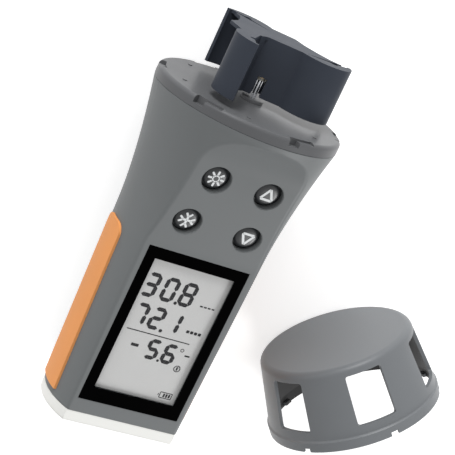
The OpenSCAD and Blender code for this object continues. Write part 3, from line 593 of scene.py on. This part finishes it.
def strip(side, gap, floor, edge, rings):
    """A strip; floor and edge are heights over the case, rings are (inset, height)."""
    bm = bmesh.new()
    wide, low, high = GRIP_HALF + gap, GRIP_LOW - gap, GRIP_HIGH + gap
    corners = [bm.verts.new((x, y, edge)) for x, y in
               ((-wide, low), (wide, low), (wide, high), (-wide, high))]
    bm.faces.new(corners)
    bmesh.ops.bevel(bm, geom=corners[2:], offset=GRIP_CORNER + gap, segments=8, profile=0.5,
                    affect="VERTICES", material=-1)
    for inset, height in rings:
        middle = max(bm.faces, key=lambda face: face.calc_area())
        bmesh.ops.inset_region(bm, faces=[middle], thickness=inset, use_even_offset=True)
        for vert in middle.verts:
            vert.co.z = height
    for cut in range(-int(GRIP_HALF), int(GRIP_HALF) + 1):
        bmesh.ops.bisect_plane(bm, geom=bm.verts[:] + bm.edges[:] + bm.faces[:],
                               plane_co=(cut, 0, 0), plane_no=(1, 0, 0), dist=NEAR)
    for vert in moved_verts(bmesh.ops.extrude_face_region(bm, geom=bm.faces[:])):
        vert.co.z = floor
    for vert in bm.verts:
        across, height, over = vert.co
        reach = case_radius(height) + over
        vert.co = (side * math.sqrt(reach ** 2 - across ** 2), across, height)
    bmesh.ops.recalc_face_normals(bm, faces=bm.faces)
    return bm


for side, name in ((-1, "left"), (1, "right")):
    rubber = strip(side, 0.0, STRIP_FLOOR, STRIP_EDGE, STRIP_RINGS)
    piece("strip_" + name, rubber, "case", "grip_orange", ["grip_" + name], sharp=50)

# %% [markdown]
# ### The openings in the front
# The screen lies in a shallow pocket with an opening behind it, and each button has a round
# hole with a small slope at its mouth. One Boolean cuts them all together with the strips'
# seats, because drawing them into the grid would crowd it.

# %% Carve the screen pocket, the button holes and the strips' seats
HOLE_R, HOLE_EDGE, HOLE_LOW, CUT_TOP = 4.95, 0.3, -6, 4
FRAME_W, FRAME_L, WINDOW_W, WINDOW_L, WINDOW_RISE = 38.0, 60.4, 30.7, 51.2, 0.6
POCKET_GAP, POCKET_LOW, OPENING_GAP, OPENING_LOW = 0.2, -1.0, 0.6, -3.4
RISEN = Matrix.Translation((0, WINDOW_RISE, 0))


def button_hole(x, up):
    """The cutter for a button's hole, with a small slope at its mouth."""
    mouth = HOLE_R + HOLE_EDGE
    hole = turned([(0, HOLE_LOW), (HOLE_R, HOLE_LOW), (HOLE_R, -HOLE_EDGE), (mouth, 0.02),
                   (mouth, CUT_TOP), (0, CUT_TOP)], 72)
    return placed(hole, ON_KEYS @ Matrix.Translation((x, up, 0)))


def strip_seats():
    """The cutters for both strips' seats."""
    return [strip(side, SEAT_GAP, SEAT_FLOOR, SEAT_TOP, ((1.0, SEAT_TOP),))
            for side in (-1, 1)]


pocket = placed(slab(FRAME_W + POCKET_GAP, FRAME_L + POCKET_GAP, POCKET_LOW, CUT_TOP), ON_SCREEN)
opening = placed(slab(WINDOW_W + OPENING_GAP, WINDOW_L + OPENING_GAP, OPENING_LOW, CUT_TOP),
                 ON_SCREEN @ RISEN)
front = carved(front, [pocket, opening] + [button_hole(*key) for key in KEYS.values()]
               + strip_seats())
piece("case_front", front, "case", "case_grey", ["front_shell"])

# %% [markdown]
# ## The back of the case
# The back is the same rim line, half round, pressed flat at the head and at the foot, where
# the instrument rests on the table. It has four sunk screws and a tripod insert in the
# middle. The screws sit in long sleeves, so solid posts are joined on before their bores.

# %% Loft the back and give it its posts and bores
BACK_COLUMNS, PRESS_SPAN, OUTSIDE = 73, 0.3, 40
SCREW_AT = [(x, z) for x in (-19.8, 19.8) for z in (-63.5, -109.5)]
POST_R, POST_START, POST_END, POST_TRIM = 3.2, 0.3, 26, 1.0
SLEEVE_R, SLEEVE_START, BORE_R, BORE_START = 2.6, 7.2, 1.5, -1
INSERT_Z, INSERT_SUNK, INSERT_R, INSERT_START = -72.0, 0.4, 4.82, 10
COLLAR_R, COLLAR_START, COLLAR_SHORT, RECESS_R = 6.6, 15.0, 1.2, 6.2
INSERT_Y = case_radius(INSERT_Z) - INSERT_SUNK
FACING_BACK = Matrix.Rotation(-math.pi / 2, 4, "X")


def resting_y(z, lift=0.0):
    """Where the table is, seen from the instrument."""
    return REST_Y - lift + z * math.tan(LEAN)


def back_point(row, column, inset):
    """A point of the back, on the outer side or inset by the wall."""
    z = ROWS[row]
    radius = skin_radius(z, inset)
    turn = math.pi * column / (BACK_COLUMNS - 1)
    y = radius * math.sin(turn)
    if not inset:
        y = soft_min(y, resting_y(z), PRESS_SPAN) if column % (BACK_COLUMNS - 1) else 0.0
    return Vector((radius * math.cos(turn), y, z))


def rod(x, z, radius, start, end):
    """A round bar along y, for posts and bores."""
    bar = turned([(0, start), (radius, start), (radius, end), (0, end)], 48)
    return placed(bar, Matrix.Translation((x, 0, z)) @ FACING_BACK)


def screw_rods(radius, start, end):
    """The same bar at each of the four screws."""
    return [rod(x, z, radius, start, end) for x, z in SCREW_AT]


def body_inside(shrink):
    """The solid inside of the case, to trim posts to."""
    line = [(case_radius(z) - shrink, z) for z in ROWS]
    return turned([(0, ROWS[0])] + line + [(0, ROWS[-1])], 96)


back = skin(len(ROWS), BACK_COLUMNS, back_point)
posts = [carved(post, [body_inside(POST_TRIM)], "INTERSECT")
         for post in screw_rods(POST_R, POST_START, POST_END)]
posts.append(rod(0, INSERT_Z, COLLAR_R, COLLAR_START, INSERT_Y - COLLAR_SHORT))
back = carved(carved(back, posts, "UNION"),
              screw_rods(SLEEVE_R, SLEEVE_START, OUTSIDE)
              + screw_rods(BORE_R, BORE_START, OUTSIDE)
              + [rod(0, INSERT_Z, RECESS_R, INSERT_Y, OUTSIDE),
                 rod(0, INSERT_Z, INSERT_R, INSERT_START, OUTSIDE)] + strip_seats())
piece("case_back", back, "case", "case_grey", ["rear_shell"])

# %% [markdown]
# ## The head plate
# The plate is turned in one piece with its boss and its neck, then slotted. Each bayonet
# slot is a deep mouth and a shallow run beside it. Pressing the back edge flat with a clamp
# on the vertices is simpler than a cut, and leaves no hole to fill.

# %% Turn, slot and mark the head plate
PLATE_EDGE, SLOTS, SLOT_ANGLE, SLOT_STEP, SLOT_IN = 1.4, 6, 38, 60, 2.4
SLOT_CUTS = ((2.4, -3.5, 7, 8), (0.65, 3.4, 11.1, 10))
BOSS_R, BOSS_LOW, BOSS_HIGH, PIN_R = 4.0, -8.0, 1.2, 1.0
BOSS_LINE = [(PIN_R, BOSS_HIGH), (3.7, BOSS_HIGH), (3.93, 1.1), (BOSS_R, 0.9), (BOSS_R, 0)]
NECK_R, NECK_IN, NECK_LOW, LIP_W, LIP_LOW = 28.4, 26.8, -5.4, 1.4, CASE_TOP + 0.08
MARK_LINE, MARK_RING = ((0, -0.5), (0.8, -0.5), (0.8, 0.15), (0.7, 0.25), (0, 0.25)), 26.6


def head_profile():
    """Round the plate's section, from the boss out to the edge and back below."""
    edge = [(HEAD_R - PLATE_EDGE * (1 - math.cos(math.radians(turn))),
             PLATE_EDGE * (math.sin(math.radians(turn)) - 1)) for turn in range(90, -1, -9)]
    lip = [(HEAD_R, LIP_LOW), (HEAD_R - LIP_W, LIP_LOW), (HEAD_R - LIP_W, -PLATE_T)]
    neck = [(NECK_R, -PLATE_T), (NECK_R, NECK_LOW), (NECK_IN, NECK_LOW), (NECK_IN, -PLATE_T)]
    below = [(BOSS_R, -PLATE_T), (BOSS_R, BOSS_LOW), (PIN_R, BOSS_LOW)]
    return BOSS_LINE + edge + lip + neck + below


def slot_tools():
    """Cutters for the slots: a deep mouth and a shallow run, in degrees round the head."""
    return [sector(HEAD_R - SLOT_IN, HEAD_R + 1, -depth, 1,
                   SLOT_ANGLE + SLOT_STEP * place + start, sweep, steps)
            for place in range(SLOTS) for depth, start, sweep, steps in SLOT_CUTS]


def disc_marks():
    """Small raised dots halfway between the slots."""
    marks = []
    for place in range(SLOTS):
        turn = math.radians(SLOT_ANGLE + SLOT_STEP * (place + 0.5))
        at = Vector((math.cos(turn), math.sin(turn), 0)) * MARK_RING
        marks.append(placed(turned(MARK_LINE, 24), Matrix.Translation(at)))
    return marks


disc = turned(head_profile(), 180, closed=True)
for vert in disc.verts:
    vert.co.y = min(vert.co.y, resting_y(vert.co.z))
disc = carved(carved(disc, disc_marks(), "UNION"), slot_tools())
piece("head_disc", disc, "case", "head_grey", ["head_plate"])

# %% [markdown]
# ## The white base
# The base is a shallow shoe with the case's D shaped outline, a soft lower edge, and a
# spigot that plugs into the case. It slides off for new cells, so the spigot and the open
# well inside it are modelled too.

# %% Build the base from D shaped plates
def d_plate(radius, front_y, low, high):
    """A disc with its front cut straight, between two heights."""
    bm = bmesh.new()
    bmesh.ops.create_circle(bm, cap_ends=True, segments=144, radius=radius)
    bmesh.ops.bisect_plane(bm, geom=bm.verts[:] + bm.edges[:] + bm.faces[:],
                           plane_co=(0, -front_y, 0), plane_no=(0, -1, 0), clear_outer=True)
    bmesh.ops.translate(bm, vec=(0, 0, low), verts=bm.verts)
    return raised(bm, high - low)


BASE_LOW, BASE_TOP, BASE_IN, BASE_LIFT = -CASE_H - 4.5, -CASE_H - 0.05, 0.06, 1.0
SPIGOT_R, SPIGOT_Y, SPIGOT_TOP = 23.1, 12.26, -CASE_H + 4
WELL_R, WELL_Y, WELL_FLOOR, WELL_TOP = 21.7, 10.9, BASE_LOW + 2.2, -100
shoe = d_plate(FOOT_R, PANEL_Y - BASE_IN, BASE_LOW, BASE_TOP)
softened(shoe, level_edges(shoe, BASE_LOW), 1.0, 5)
softened(shoe, level_edges(shoe, BASE_TOP), 0.2, 2)
shoe = carved(shoe, [d_plate(SPIGOT_R, SPIGOT_Y, -CASE_H - 1, SPIGOT_TOP)], "UNION")
shoe = carved(shoe, [d_plate(WELL_R, WELL_Y, WELL_FLOOR, WELL_TOP)])
for vert in shoe.verts:
    vert.co.y = min(vert.co.y, resting_y(vert.co.z, BASE_LIFT))
piece("base_shoe", shoe, "base_group", "base_white", ["base_cap"])

# %% [markdown]
# ## The screen
# The black frame is a thin plate with a softened outer edge. Its window is a separate clear
# pane, laid in from behind, over the grey glass of the display, which the CAD already has.

# %% Cut the frame and lay in the pane
FRAME_LOW, FRAME_TOP, FRAME_CORNER, FRAME_SOFT, CUT_REACH = -0.98, 0.2, 0.5, 0.18, 3
LEDGE, LEDGE_TOP, PANE_LEDGE, PANE_LOW, PANE_TOP = 1.7, -0.49, 1.6, -0.99, -0.52
rim = slab(FRAME_W, FRAME_L, FRAME_LOW, FRAME_TOP, FRAME_CORNER)
softened(rim, level_edges(rim, FRAME_TOP), FRAME_SOFT)
rim = carved(rim, [
    placed(slab(WINDOW_W, WINDOW_L, -CUT_REACH, CUT_REACH, 0.2), RISEN),
    placed(slab(WINDOW_W + LEDGE, WINDOW_L + LEDGE, -CUT_REACH, LEDGE_TOP), RISEN)])
piece("screen_frame", rim, "case", "frame_black", ["bezel"], LAID @ ON_SCREEN)
pane = slab(WINDOW_W + PANE_LEDGE, WINDOW_L + PANE_LEDGE, PANE_LOW, PANE_TOP, 0.3)
piece("screen_pane", pane, "case", "window_clear", ["window_pane"], LAID @ ON_SCREEN @ RISEN)

# %% [markdown]
# ### Figures on the display
# Each figure has up to seven bars with pointed ends, so that neighbours meet at a mitre.
# Drawing every bar as six points and raising them all by a hair gives crisp dark figures
# that stay sharp at any size. The readings are plain numbers, and short dashes stand where a
# unit would be.

# %% Draw bars, dots and seven-bar figures
BARS = {"0": "abcdef", "1": "bc", "2": "abged", "3": "abgcd", "5": "afgcd", "6": "afgedc",
        "7": "abc", "8": "abcdefg"}
SLOPE, BAR_GAP = 0.05, 0.03


def bar(bm, start, end, width, point=0.5):
    """A flat bar with pointed ends."""
    start, end = Vector(start), Vector(end)
    along = (end - start).normalized()
    side = Vector((-along.y, along.x)) * width / 2
    tip = along * width * point
    outline = (start, start + tip - side, end - tip - side, end, end - tip + side,
               start + tip + side)
    bm.faces.new([bm.verts.new((spot.x, spot.y, 0)) for spot in outline])


def dot(bm, x, y, radius):
    bmesh.ops.create_circle(bm, cap_ends=True, segments=16, radius=radius,
                            matrix=Matrix.Translation((x, y, 0)))


def loop(bm, x, y, radius, width, steps=10):
    """A ring of short bars."""
    knots = [Vector((x + radius * math.cos(math.tau * turn / steps),
                     y + radius * math.sin(math.tau * turn / steps))) for turn in range(steps)]
    for start, end in zip(knots, knots[1:] + knots[:1]):
        bar(bm, start, end, width, 0.3)


def figure(bm, sign, x, y, width, height, stroke):
    """A seven-bar figure, centred at x and y, with a slight forward slope."""
    half_w, half_h = (width - stroke) / 2, (height - stroke) / 2
    knots = {"a": ((-1, 1), (1, 1)), "b": ((1, 1), (1, 0)), "c": ((1, 0), (1, -1)),
             "d": ((-1, -1), (1, -1)), "e": ((-1, 0), (-1, -1)), "f": ((-1, 1), (-1, 0)),
             "g": ((-1, 0), (1, 0))}
    for name in BARS[sign]:
        ends = [Vector((x + half_w * across + SLOPE * half_h * up, y + half_h * up))
                for across, up in knots[name]]
        along = (ends[1] - ends[0]).normalized() * BAR_GAP
        bar(bm, ends[0] + along, ends[1] - along, stroke)


trial = bmesh.new()
figure(trial, "8", 0, 0, 5, 9, 1)
print("an 8 has", len(trial.faces), "bars")
trial.free()

# %% [markdown]
# The marks are placed by their distances from the window's upper left corner, as read from
# the photograph. Rows of numbers are easier to adjust than marks drawn singly.

# %% Lay out the display
FIGURE_STROKE = 1.42
READINGS = (("308", (3.55, 10.6, 17.5), 9.9, 5.3, 9.2),
            ("721", (4.5, 10.8, 17.2), 21.2, 5.2, 8.6),
            ("5", (14.5,), 32.6, 5.0, 7.9), ("6", (20.9,), 32.8, 5.0, 7.9))
DOTS = ((14.4, 14.0, 0.6), (13.9, 25.2, 0.65), (17.9, 36.2, 0.5))


def display_marks():
    """All the marks; u runs right and v down from the window's upper left corner."""
    bm = bmesh.new()
    for signs, places, v, width, height in READINGS:
        for sign, u in zip(signs, places):
            figure(bm, sign, u, -v, width, height, FIGURE_STROKE)
    for u, v, radius in DOTS:
        dot(bm, u, -v, radius)
    bar(bm, (6.1, -32.6), (9.0, -32.6), 1.1, 0.1)
    bar(bm, (2.2, -27.3), (26.2, -27.3), 0.35, 0.0)
    bar(bm, (26.4, -31.9), (28.4, -31.9), 0.6, 0.1)
    loop(bm, 24.8, -30.2, 0.6, 0.32)
    for step in range(4):
        bar(bm, (23.4 + 1.5 * step, -12.6), (24.5 + 1.5 * step, -12.6), 0.55, 0.1)
        bar(bm, (22.9 + 1.5 * step, -22.9), (24.1 + 1.5 * step, -22.9), 1.1, 0.1)
    return bm


marks = display_marks()
print("marks laid out:", len(marks.faces), "faces")

# %% [markdown]
# The two smallest marks are made of the same bars. One extrusion then raises all the marks
# together, just clear of the display's glass, so that no two faces share a plane.

# %% Add the small pictures and raise the whole display
def small_pictures(bm):
    """A round mark and a cell with three bars."""
    loop(bm, 26.0, -37.4, 1.15, 0.4, 14)
    bar(bm, (26.0, -36.7), (26.0, -38.1), 0.6, 0.1)
    for start, end in (((24.4, -47.3), (28.9, -47.3)), ((24.4, -49.5), (28.9, -49.5)),
                       ((24.4, -47.3), (24.4, -49.5)), ((28.9, -47.3), (28.9, -49.5)),
                       ((23.8, -48.0), (23.8, -48.8))):
        bar(bm, start, end, 0.3, 0.0)
    for step in range(3):
        bar(bm, (26.0 + step, -47.7), (26.0 + step, -49.1), 0.7, 0.0)
    return bm


MARK_RISE, GLASS_Z = 0.05, -1.215
marks = raised(small_pictures(marks), MARK_RISE)
MARKS_AT = ON_SCREEN @ Matrix.Translation((-WINDOW_W / 2, WINDOW_RISE + WINDOW_L / 2, GLASS_Z))
piece("display_figures", marks, "case", "lcd_grey", (), LAID @ MARKS_AT, material=LCD_DARK)

# %% [markdown]
# ## The buttons
# A button is a turned plug with a flange that keeps it in its hole, and its face is a
# shallow dome. The picture on it is a thin raised plate that rides on the button, so that it
# goes down with it.

# %% Turn the plugs and print the pictures
KEY_R, KEY_TOP, DOME_RISE, DOME_POWER, DOME_STEPS = 4.3, -0.94, 1.0, 5, 12
STEM_R, STEM_LOW, FLANGE_R, FLANGE_LOW, FLANGE_TOP = 1.6, -4.2, 5.6, -3.57, -2.77
PICTURE_R, PICTURE_RISE = 3.2, 0.06


def dome(radius):
    """Height of a button's face at a radius."""
    return KEY_TOP - DOME_RISE * (radius / KEY_R) ** DOME_POWER


DOME_RADII = [KEY_R * step / DOME_STEPS for step in range(DOME_STEPS, -1, -1)]
KEY_PROFILE = ([(0, STEM_LOW), (STEM_R, STEM_LOW), (STEM_R, FLANGE_LOW), (FLANGE_R, FLANGE_LOW),
                (FLANGE_R, FLANGE_TOP), (KEY_R, FLANGE_TOP)]
               + [(radius, dome(radius)) for radius in DOME_RADII])


def ways(count):
    """Directions spread evenly round a circle."""
    turns = [math.tau * turn / count for turn in range(count)]
    return [Vector((math.cos(turn), math.sin(turn))) for turn in turns]


def sun_picture(bm):
    for way in ways(8):
        bar(bm, way * 1.45, way * 3.0, 0.72, 0.15)
    loop(bm, 0, 0, 1.15, 0.5)


def fan_picture(bm):
    for way in ways(4):
        side = Vector((-way.y, way.x))
        bar(bm, way * 0.1, way * 1.7, 0.8, 0.2)
        for lean in (-1, 1):
            bar(bm, way * 1.35 + side * 0.1 * lean, way * 2.75 + side * 1.15 * lean, 0.72, 0.2)


def arrow_picture(bm, way):
    corners = [Vector((-2.2, -1.7 * way)), Vector((2.2, -1.7 * way)), Vector((0, 2.5 * way))]
    for start, end in zip(corners, corners[1:] + corners[:1]):
        bar(bm, start, end, 0.85, 0.3)


PICTURES = {"light": sun_picture, "mode": fan_picture,
            "up": lambda bm: arrow_picture(bm, 1), "down": lambda bm: arrow_picture(bm, -1)}
for key, (x, up) in KEYS.items():
    at = LAID @ ON_KEYS @ Matrix.Translation((x, up, 0))
    piece("key_" + key, turned(KEY_PROFILE, 72), "button_" + key + "_body", "button_black",
          ["button_" + key], at)
    picture = bmesh.new()
    PICTURES[key](picture)
    foot = dome(PICTURE_R)
    bmesh.ops.translate(picture, vec=(0, 0, foot), verts=picture.verts)
    piece("picture_" + key, raised(picture, PICTURE_RISE - foot + KEY_TOP),
          "button_" + key + "_body", "button_black", (), at, material=ICON_WHITE)

# %% [markdown]
# ## The rotor
# The rotor's plan, three half rings under a cover, is already right in the CAD, so its
# mesh is copied rather than drawn again. The copy's loose triangles are merged into closed
# surfaces, so that the smoothing can tell a gentle bend from a sharp edge.

# %% Copy the CAD rotor
CAD_NEAR = 2e-6


def copied(node):
    """A copy of a CAD node's mesh with its loose triangles merged."""
    bm = bmesh.new()
    bm.from_mesh(frame["nodes"][node].data)
    bmesh.ops.remove_doubles(bm, verts=bm.verts, dist=CAD_NEAR)
    bmesh.ops.recalc_face_normals(bm, faces=bm.faces)
    return bm


vanes = copied("rotor")
piece("rotor_vanes", vanes, "rotor_group", "rotor_grey", ["rotor"], Matrix())

# %% [markdown]
# ## The guard cap
# The cap is turned like a cup, with a low band at its rim and a rounded crown. A cylinder
# with bevels would do for the outside, but one spun line gives the inside of the wall too.

# %% Turn the cup
CAP_R, CAP_H, BAND_H, BAND_STEP = 32.2, 29.0, 4.0, 0.6
CROWN_R, CROWN_EDGE, CAP_WALL = 28.5, 2.6, 1.2
edge_x, edge_z, side_r = CROWN_R - CROWN_EDGE, CAP_H - CROWN_EDGE, CAP_R - BAND_STEP


def cup_profile():
    """Down the outside from the middle of the crown, and back up the inside."""
    crown = [(edge_x + CROWN_EDGE * math.cos(math.radians(turn)),
              edge_z + CROWN_EDGE * math.sin(math.radians(turn))) for turn in range(90, -1, -10)]
    band = [(side_r, BAND_H + 0.5), (side_r + 0.1, BAND_H + 0.25), (CAP_R - 0.25, BAND_H),
            (CAP_R, BAND_H - 0.25), (CAP_R, 0.25), (CAP_R - 0.25, 0)]
    inner = [(CAP_R - CAP_WALL + 0.15, 0), (CAP_R - CAP_WALL, 0.15),
             (CAP_R - CAP_WALL, BAND_H - 0.1), (side_r - CAP_WALL, BAND_H),
             (CROWN_R - CAP_WALL - 0.1, edge_z - 0.6), (CROWN_R - CAP_WALL - 0.5, edge_z + 0.4),
             (edge_x, CAP_H - CAP_WALL)]
    return [(0, CAP_H)] + crown + band + inner + [(0, CAP_H - CAP_WALL)]


cup = turned(cup_profile(), 180)
print("cup:", len(cup.faces), "faces")

# %% [markdown]
# Six windows are cut through the side. Each cutter is a sector with rounded edges, so the
# windows come out with the soft corners that a mould gives. Lugs inside the rim fit the
# head's slots. The inside is painted shade: its faces take the dark seal finish for the shadow in the hollow.

# %% Cut the windows and notches, add the lugs, paint the shade inside and lay the cap down
PORT_IN, PORT_OUT, PORT_LOW, PORT_HIGH, PORT_TURN, PORT_CORNER = 20, 40, 7.4, 25.6, 27, 0.9
NOTCH_IN, NOTCH_OUT, NOTCH_LOW, NOTCH_TOP, NOTCH_START, NOTCH_TURN = 28, 36, -1, 1.6, 5.3, 5.4
LUG_LOW, LUG_TOP, LUG_START, LUG_TURN = 0.4, 1.6, -25, 6
CAP_X, CAP_Y, CAP_TURN, CAP_ROLL = 0.0885, -0.0953, 38, 28


def window_tool(place):
    """The cutter for one window, with rounded corners."""
    tool = sector(PORT_IN, PORT_OUT, PORT_LOW, PORT_HIGH,
                  SLOT_STEP * place - PORT_TURN / 2, PORT_TURN, 9)
    corners = [edge for edge in tool.edges
               if abs(edge.verts[0].co.z - edge.verts[1].co.z) < NEAR
               and abs(edge.verts[0].co.xy.length - edge.verts[1].co.xy.length) > 1]
    ends = [edge for edge in corners if edge.calc_face_angle(0.0) > 1]
    return softened(tool, ends, PORT_CORNER, 4)


tools = [window_tool(place) for place in range(SLOTS)]
tools += [sector(NOTCH_IN, NOTCH_OUT, NOTCH_LOW, NOTCH_TOP,
                 SLOT_STEP * place + NOTCH_START, NOTCH_TURN, 3) for place in range(SLOTS)]
lugs = [sector(CAP_R - 2 * CAP_WALL, CAP_R - CAP_WALL + 0.3, LUG_LOW, LUG_TOP,
               SLOT_STEP * place + LUG_START, LUG_TURN, 4) for place in range(SLOTS)]
cup = carved(carved(cup, tools), lugs, "UNION")
# painted shade: faces that look into the cup, and the crown's underside, take the dark finish so that the hollow
# seen through the windows looks shadowed
for face in cup.faces:
    spot, way = face.calc_center_median(), face.normal
    painted_shade_inside = spot.xy.dot(way.xy) < -0.3 * spot.xy.length and spot.z < edge_z + 1
    if painted_shade_inside or (way.z < -0.5 and spot.z > edge_z):
        face.material_index = 1  # the dark finish, added below
far = math.hypot(CAP_R - edge_x, edge_z - BAND_H)
CAP_TILT = math.acos(CROWN_EDGE / far) - math.atan2(edge_z - BAND_H, CAP_R - edge_x)
cap_height = CAP_R * math.cos(CAP_TILT) + BAND_H * math.sin(CAP_TILT)
CAP_LAID = (Matrix.Translation((head_face.x + CAP_X, head_face.y + CAP_Y, cap_height / MM_PER_M))
            @ Matrix.Rotation(math.radians(CAP_TURN), 4, "Z")
            @ Matrix.Rotation(-math.pi / 2 - CAP_TILT, 4, "X")
            @ Matrix.Rotation(math.radians(CAP_ROLL), 4, "Z") @ MILLIMETRES)
cap = piece("cap_cup", cup, "cap_group", "cap_grey", ["guard_cap"], CAP_LAID)
# the second slot: seal_black as painted shade on the cup's inside faces
cap.data.materials.append(FINISHES["seal_black"])

# %% [markdown]
# ## Everything that stays as the CAD has it
# The inner pieces, the screws and the metal parts keep their CAD meshes and only take a
# finish. The packed record says which slot each node belongs to.

# %% Give the CAD nodes their finishes
NODE_SLOTS = {entry["node"]: entry["material_slot"] for entry in frame["record"]["subparts"]}
for name, thing in frame["nodes"].items():
    if not thing.hide_render:
        thing.data.materials.clear()
        thing.data.materials.append(FINISHES[NODE_SLOTS[name]])
print("CAD nodes that show:", sum(not thing.hide_render for thing in frame["nodes"].values()))

# %% [markdown]
# ## Table, lamps and camera
# The table is a broad pale sheet. The camera should see it as white while it still carries a
# shadow, so it gives off a little extra light, but only to the rays that look at it.

# %% Lay the table
def table_finish():
    material = bpy.data.materials.new("table_white")
    network, shader = opened(material)
    for socket, value in (("Base Color", (0.86, 0.86, 0.86, 1)), ("Roughness", 0.9),
                          (SHEEN, 0.0), ("Emission Color", (1, 1, 1, 1))):
        shader[socket].default_value = value
    network.feed(shader["Emission Strength"], network.seen() * TABLE_GLOW)
    return material


TABLE_GLOW, TABLE_HALF, TABLE_Z = 0.56, 3, -0.0002
table = bmesh.new()
bmesh.ops.create_grid(table, x_segments=1, y_segments=1, size=TABLE_HALF)
bmesh.ops.translate(table, vec=(0, 0, TABLE_Z), verts=table.verts)
table_top = as_object("table", table)
table_top.data.materials.append(table_finish())
print("table laid at", round(table_top.data.vertices[0].co.z, 4))

# %% [markdown]
# A large soft lamp low at the right front lights the panel at a slant, so that the black
# frame mirrors nothing bright. A second one beyond the head lights the cap's crown and the
# left flank, and the world adds even light from all round.

# %% Hang the lamps and light the world
def lamp(name, spot, power):
    """A square soft lamp that faces the middle of the part."""
    data = bpy.data.lights.new(name, "AREA")
    data.energy, data.size = power, LAMP_SIZE
    thing = bpy.data.objects.new(name, data)
    thing.location = spot
    thing.rotation_euler = (-Vector(spot)).to_track_quat("-Z", "Y").to_euler()
    scene.collection.objects.link(thing)


LAMP_SIZE, ROOM_LIGHT = 0.7, 0.48
lamp("key_lamp", (1.1, -0.9, 0.8), 15.0)
lamp("crown_lamp", (-0.55, 1.15, 0.45), 14.0)
world = bpy.data.worlds.new("soft_room")
world.use_nodes = True
scene.world = world
sky = world.node_tree.nodes["Background"].inputs
room = Network(world.node_tree)
sky["Color"].default_value = (1, 1, 1, 1)
room.feed(sky["Strength"], ROOM_LIGHT + (1 - ROOM_LIGHT) * room.seen())
scene.view_settings.view_transform = "Standard"

# %% [markdown]
# The camera's place, turn and lens were fitted to the outlines in the photograph, so that
# the render can be laid over it. The numbers are kept as they came out.

# %% Set the camera where the photographer stood
CAMERA_SPOT = (-0.252833, 0.119224, 0.480347)
CAMERA_AXES = ((0.86747812, 0.38602546, 0.31379302), (-0.27153432, 0.89593698, -0.35151961),
               (-0.41683429, 0.21973, 0.88202489))
camera_data = bpy.data.cameras.new("camera")
camera_data.lens, camera_data.sensor_width = 119.14, 36.0
camera_data.shift_x, camera_data.shift_y = 0.0587, -0.0278
camera = bpy.data.objects.new("camera", camera_data)
camera.matrix_world = (Matrix.Translation(CAMERA_SPOT)
                       @ Matrix(CAMERA_AXES).transposed().to_4x4())
scene.collection.objects.link(camera)
scene.camera = camera
print("camera stands", round(camera.location.length, 3), "m from the origin")

# %% [markdown]
# ## The last cell only imports json

# %% Import json
import json
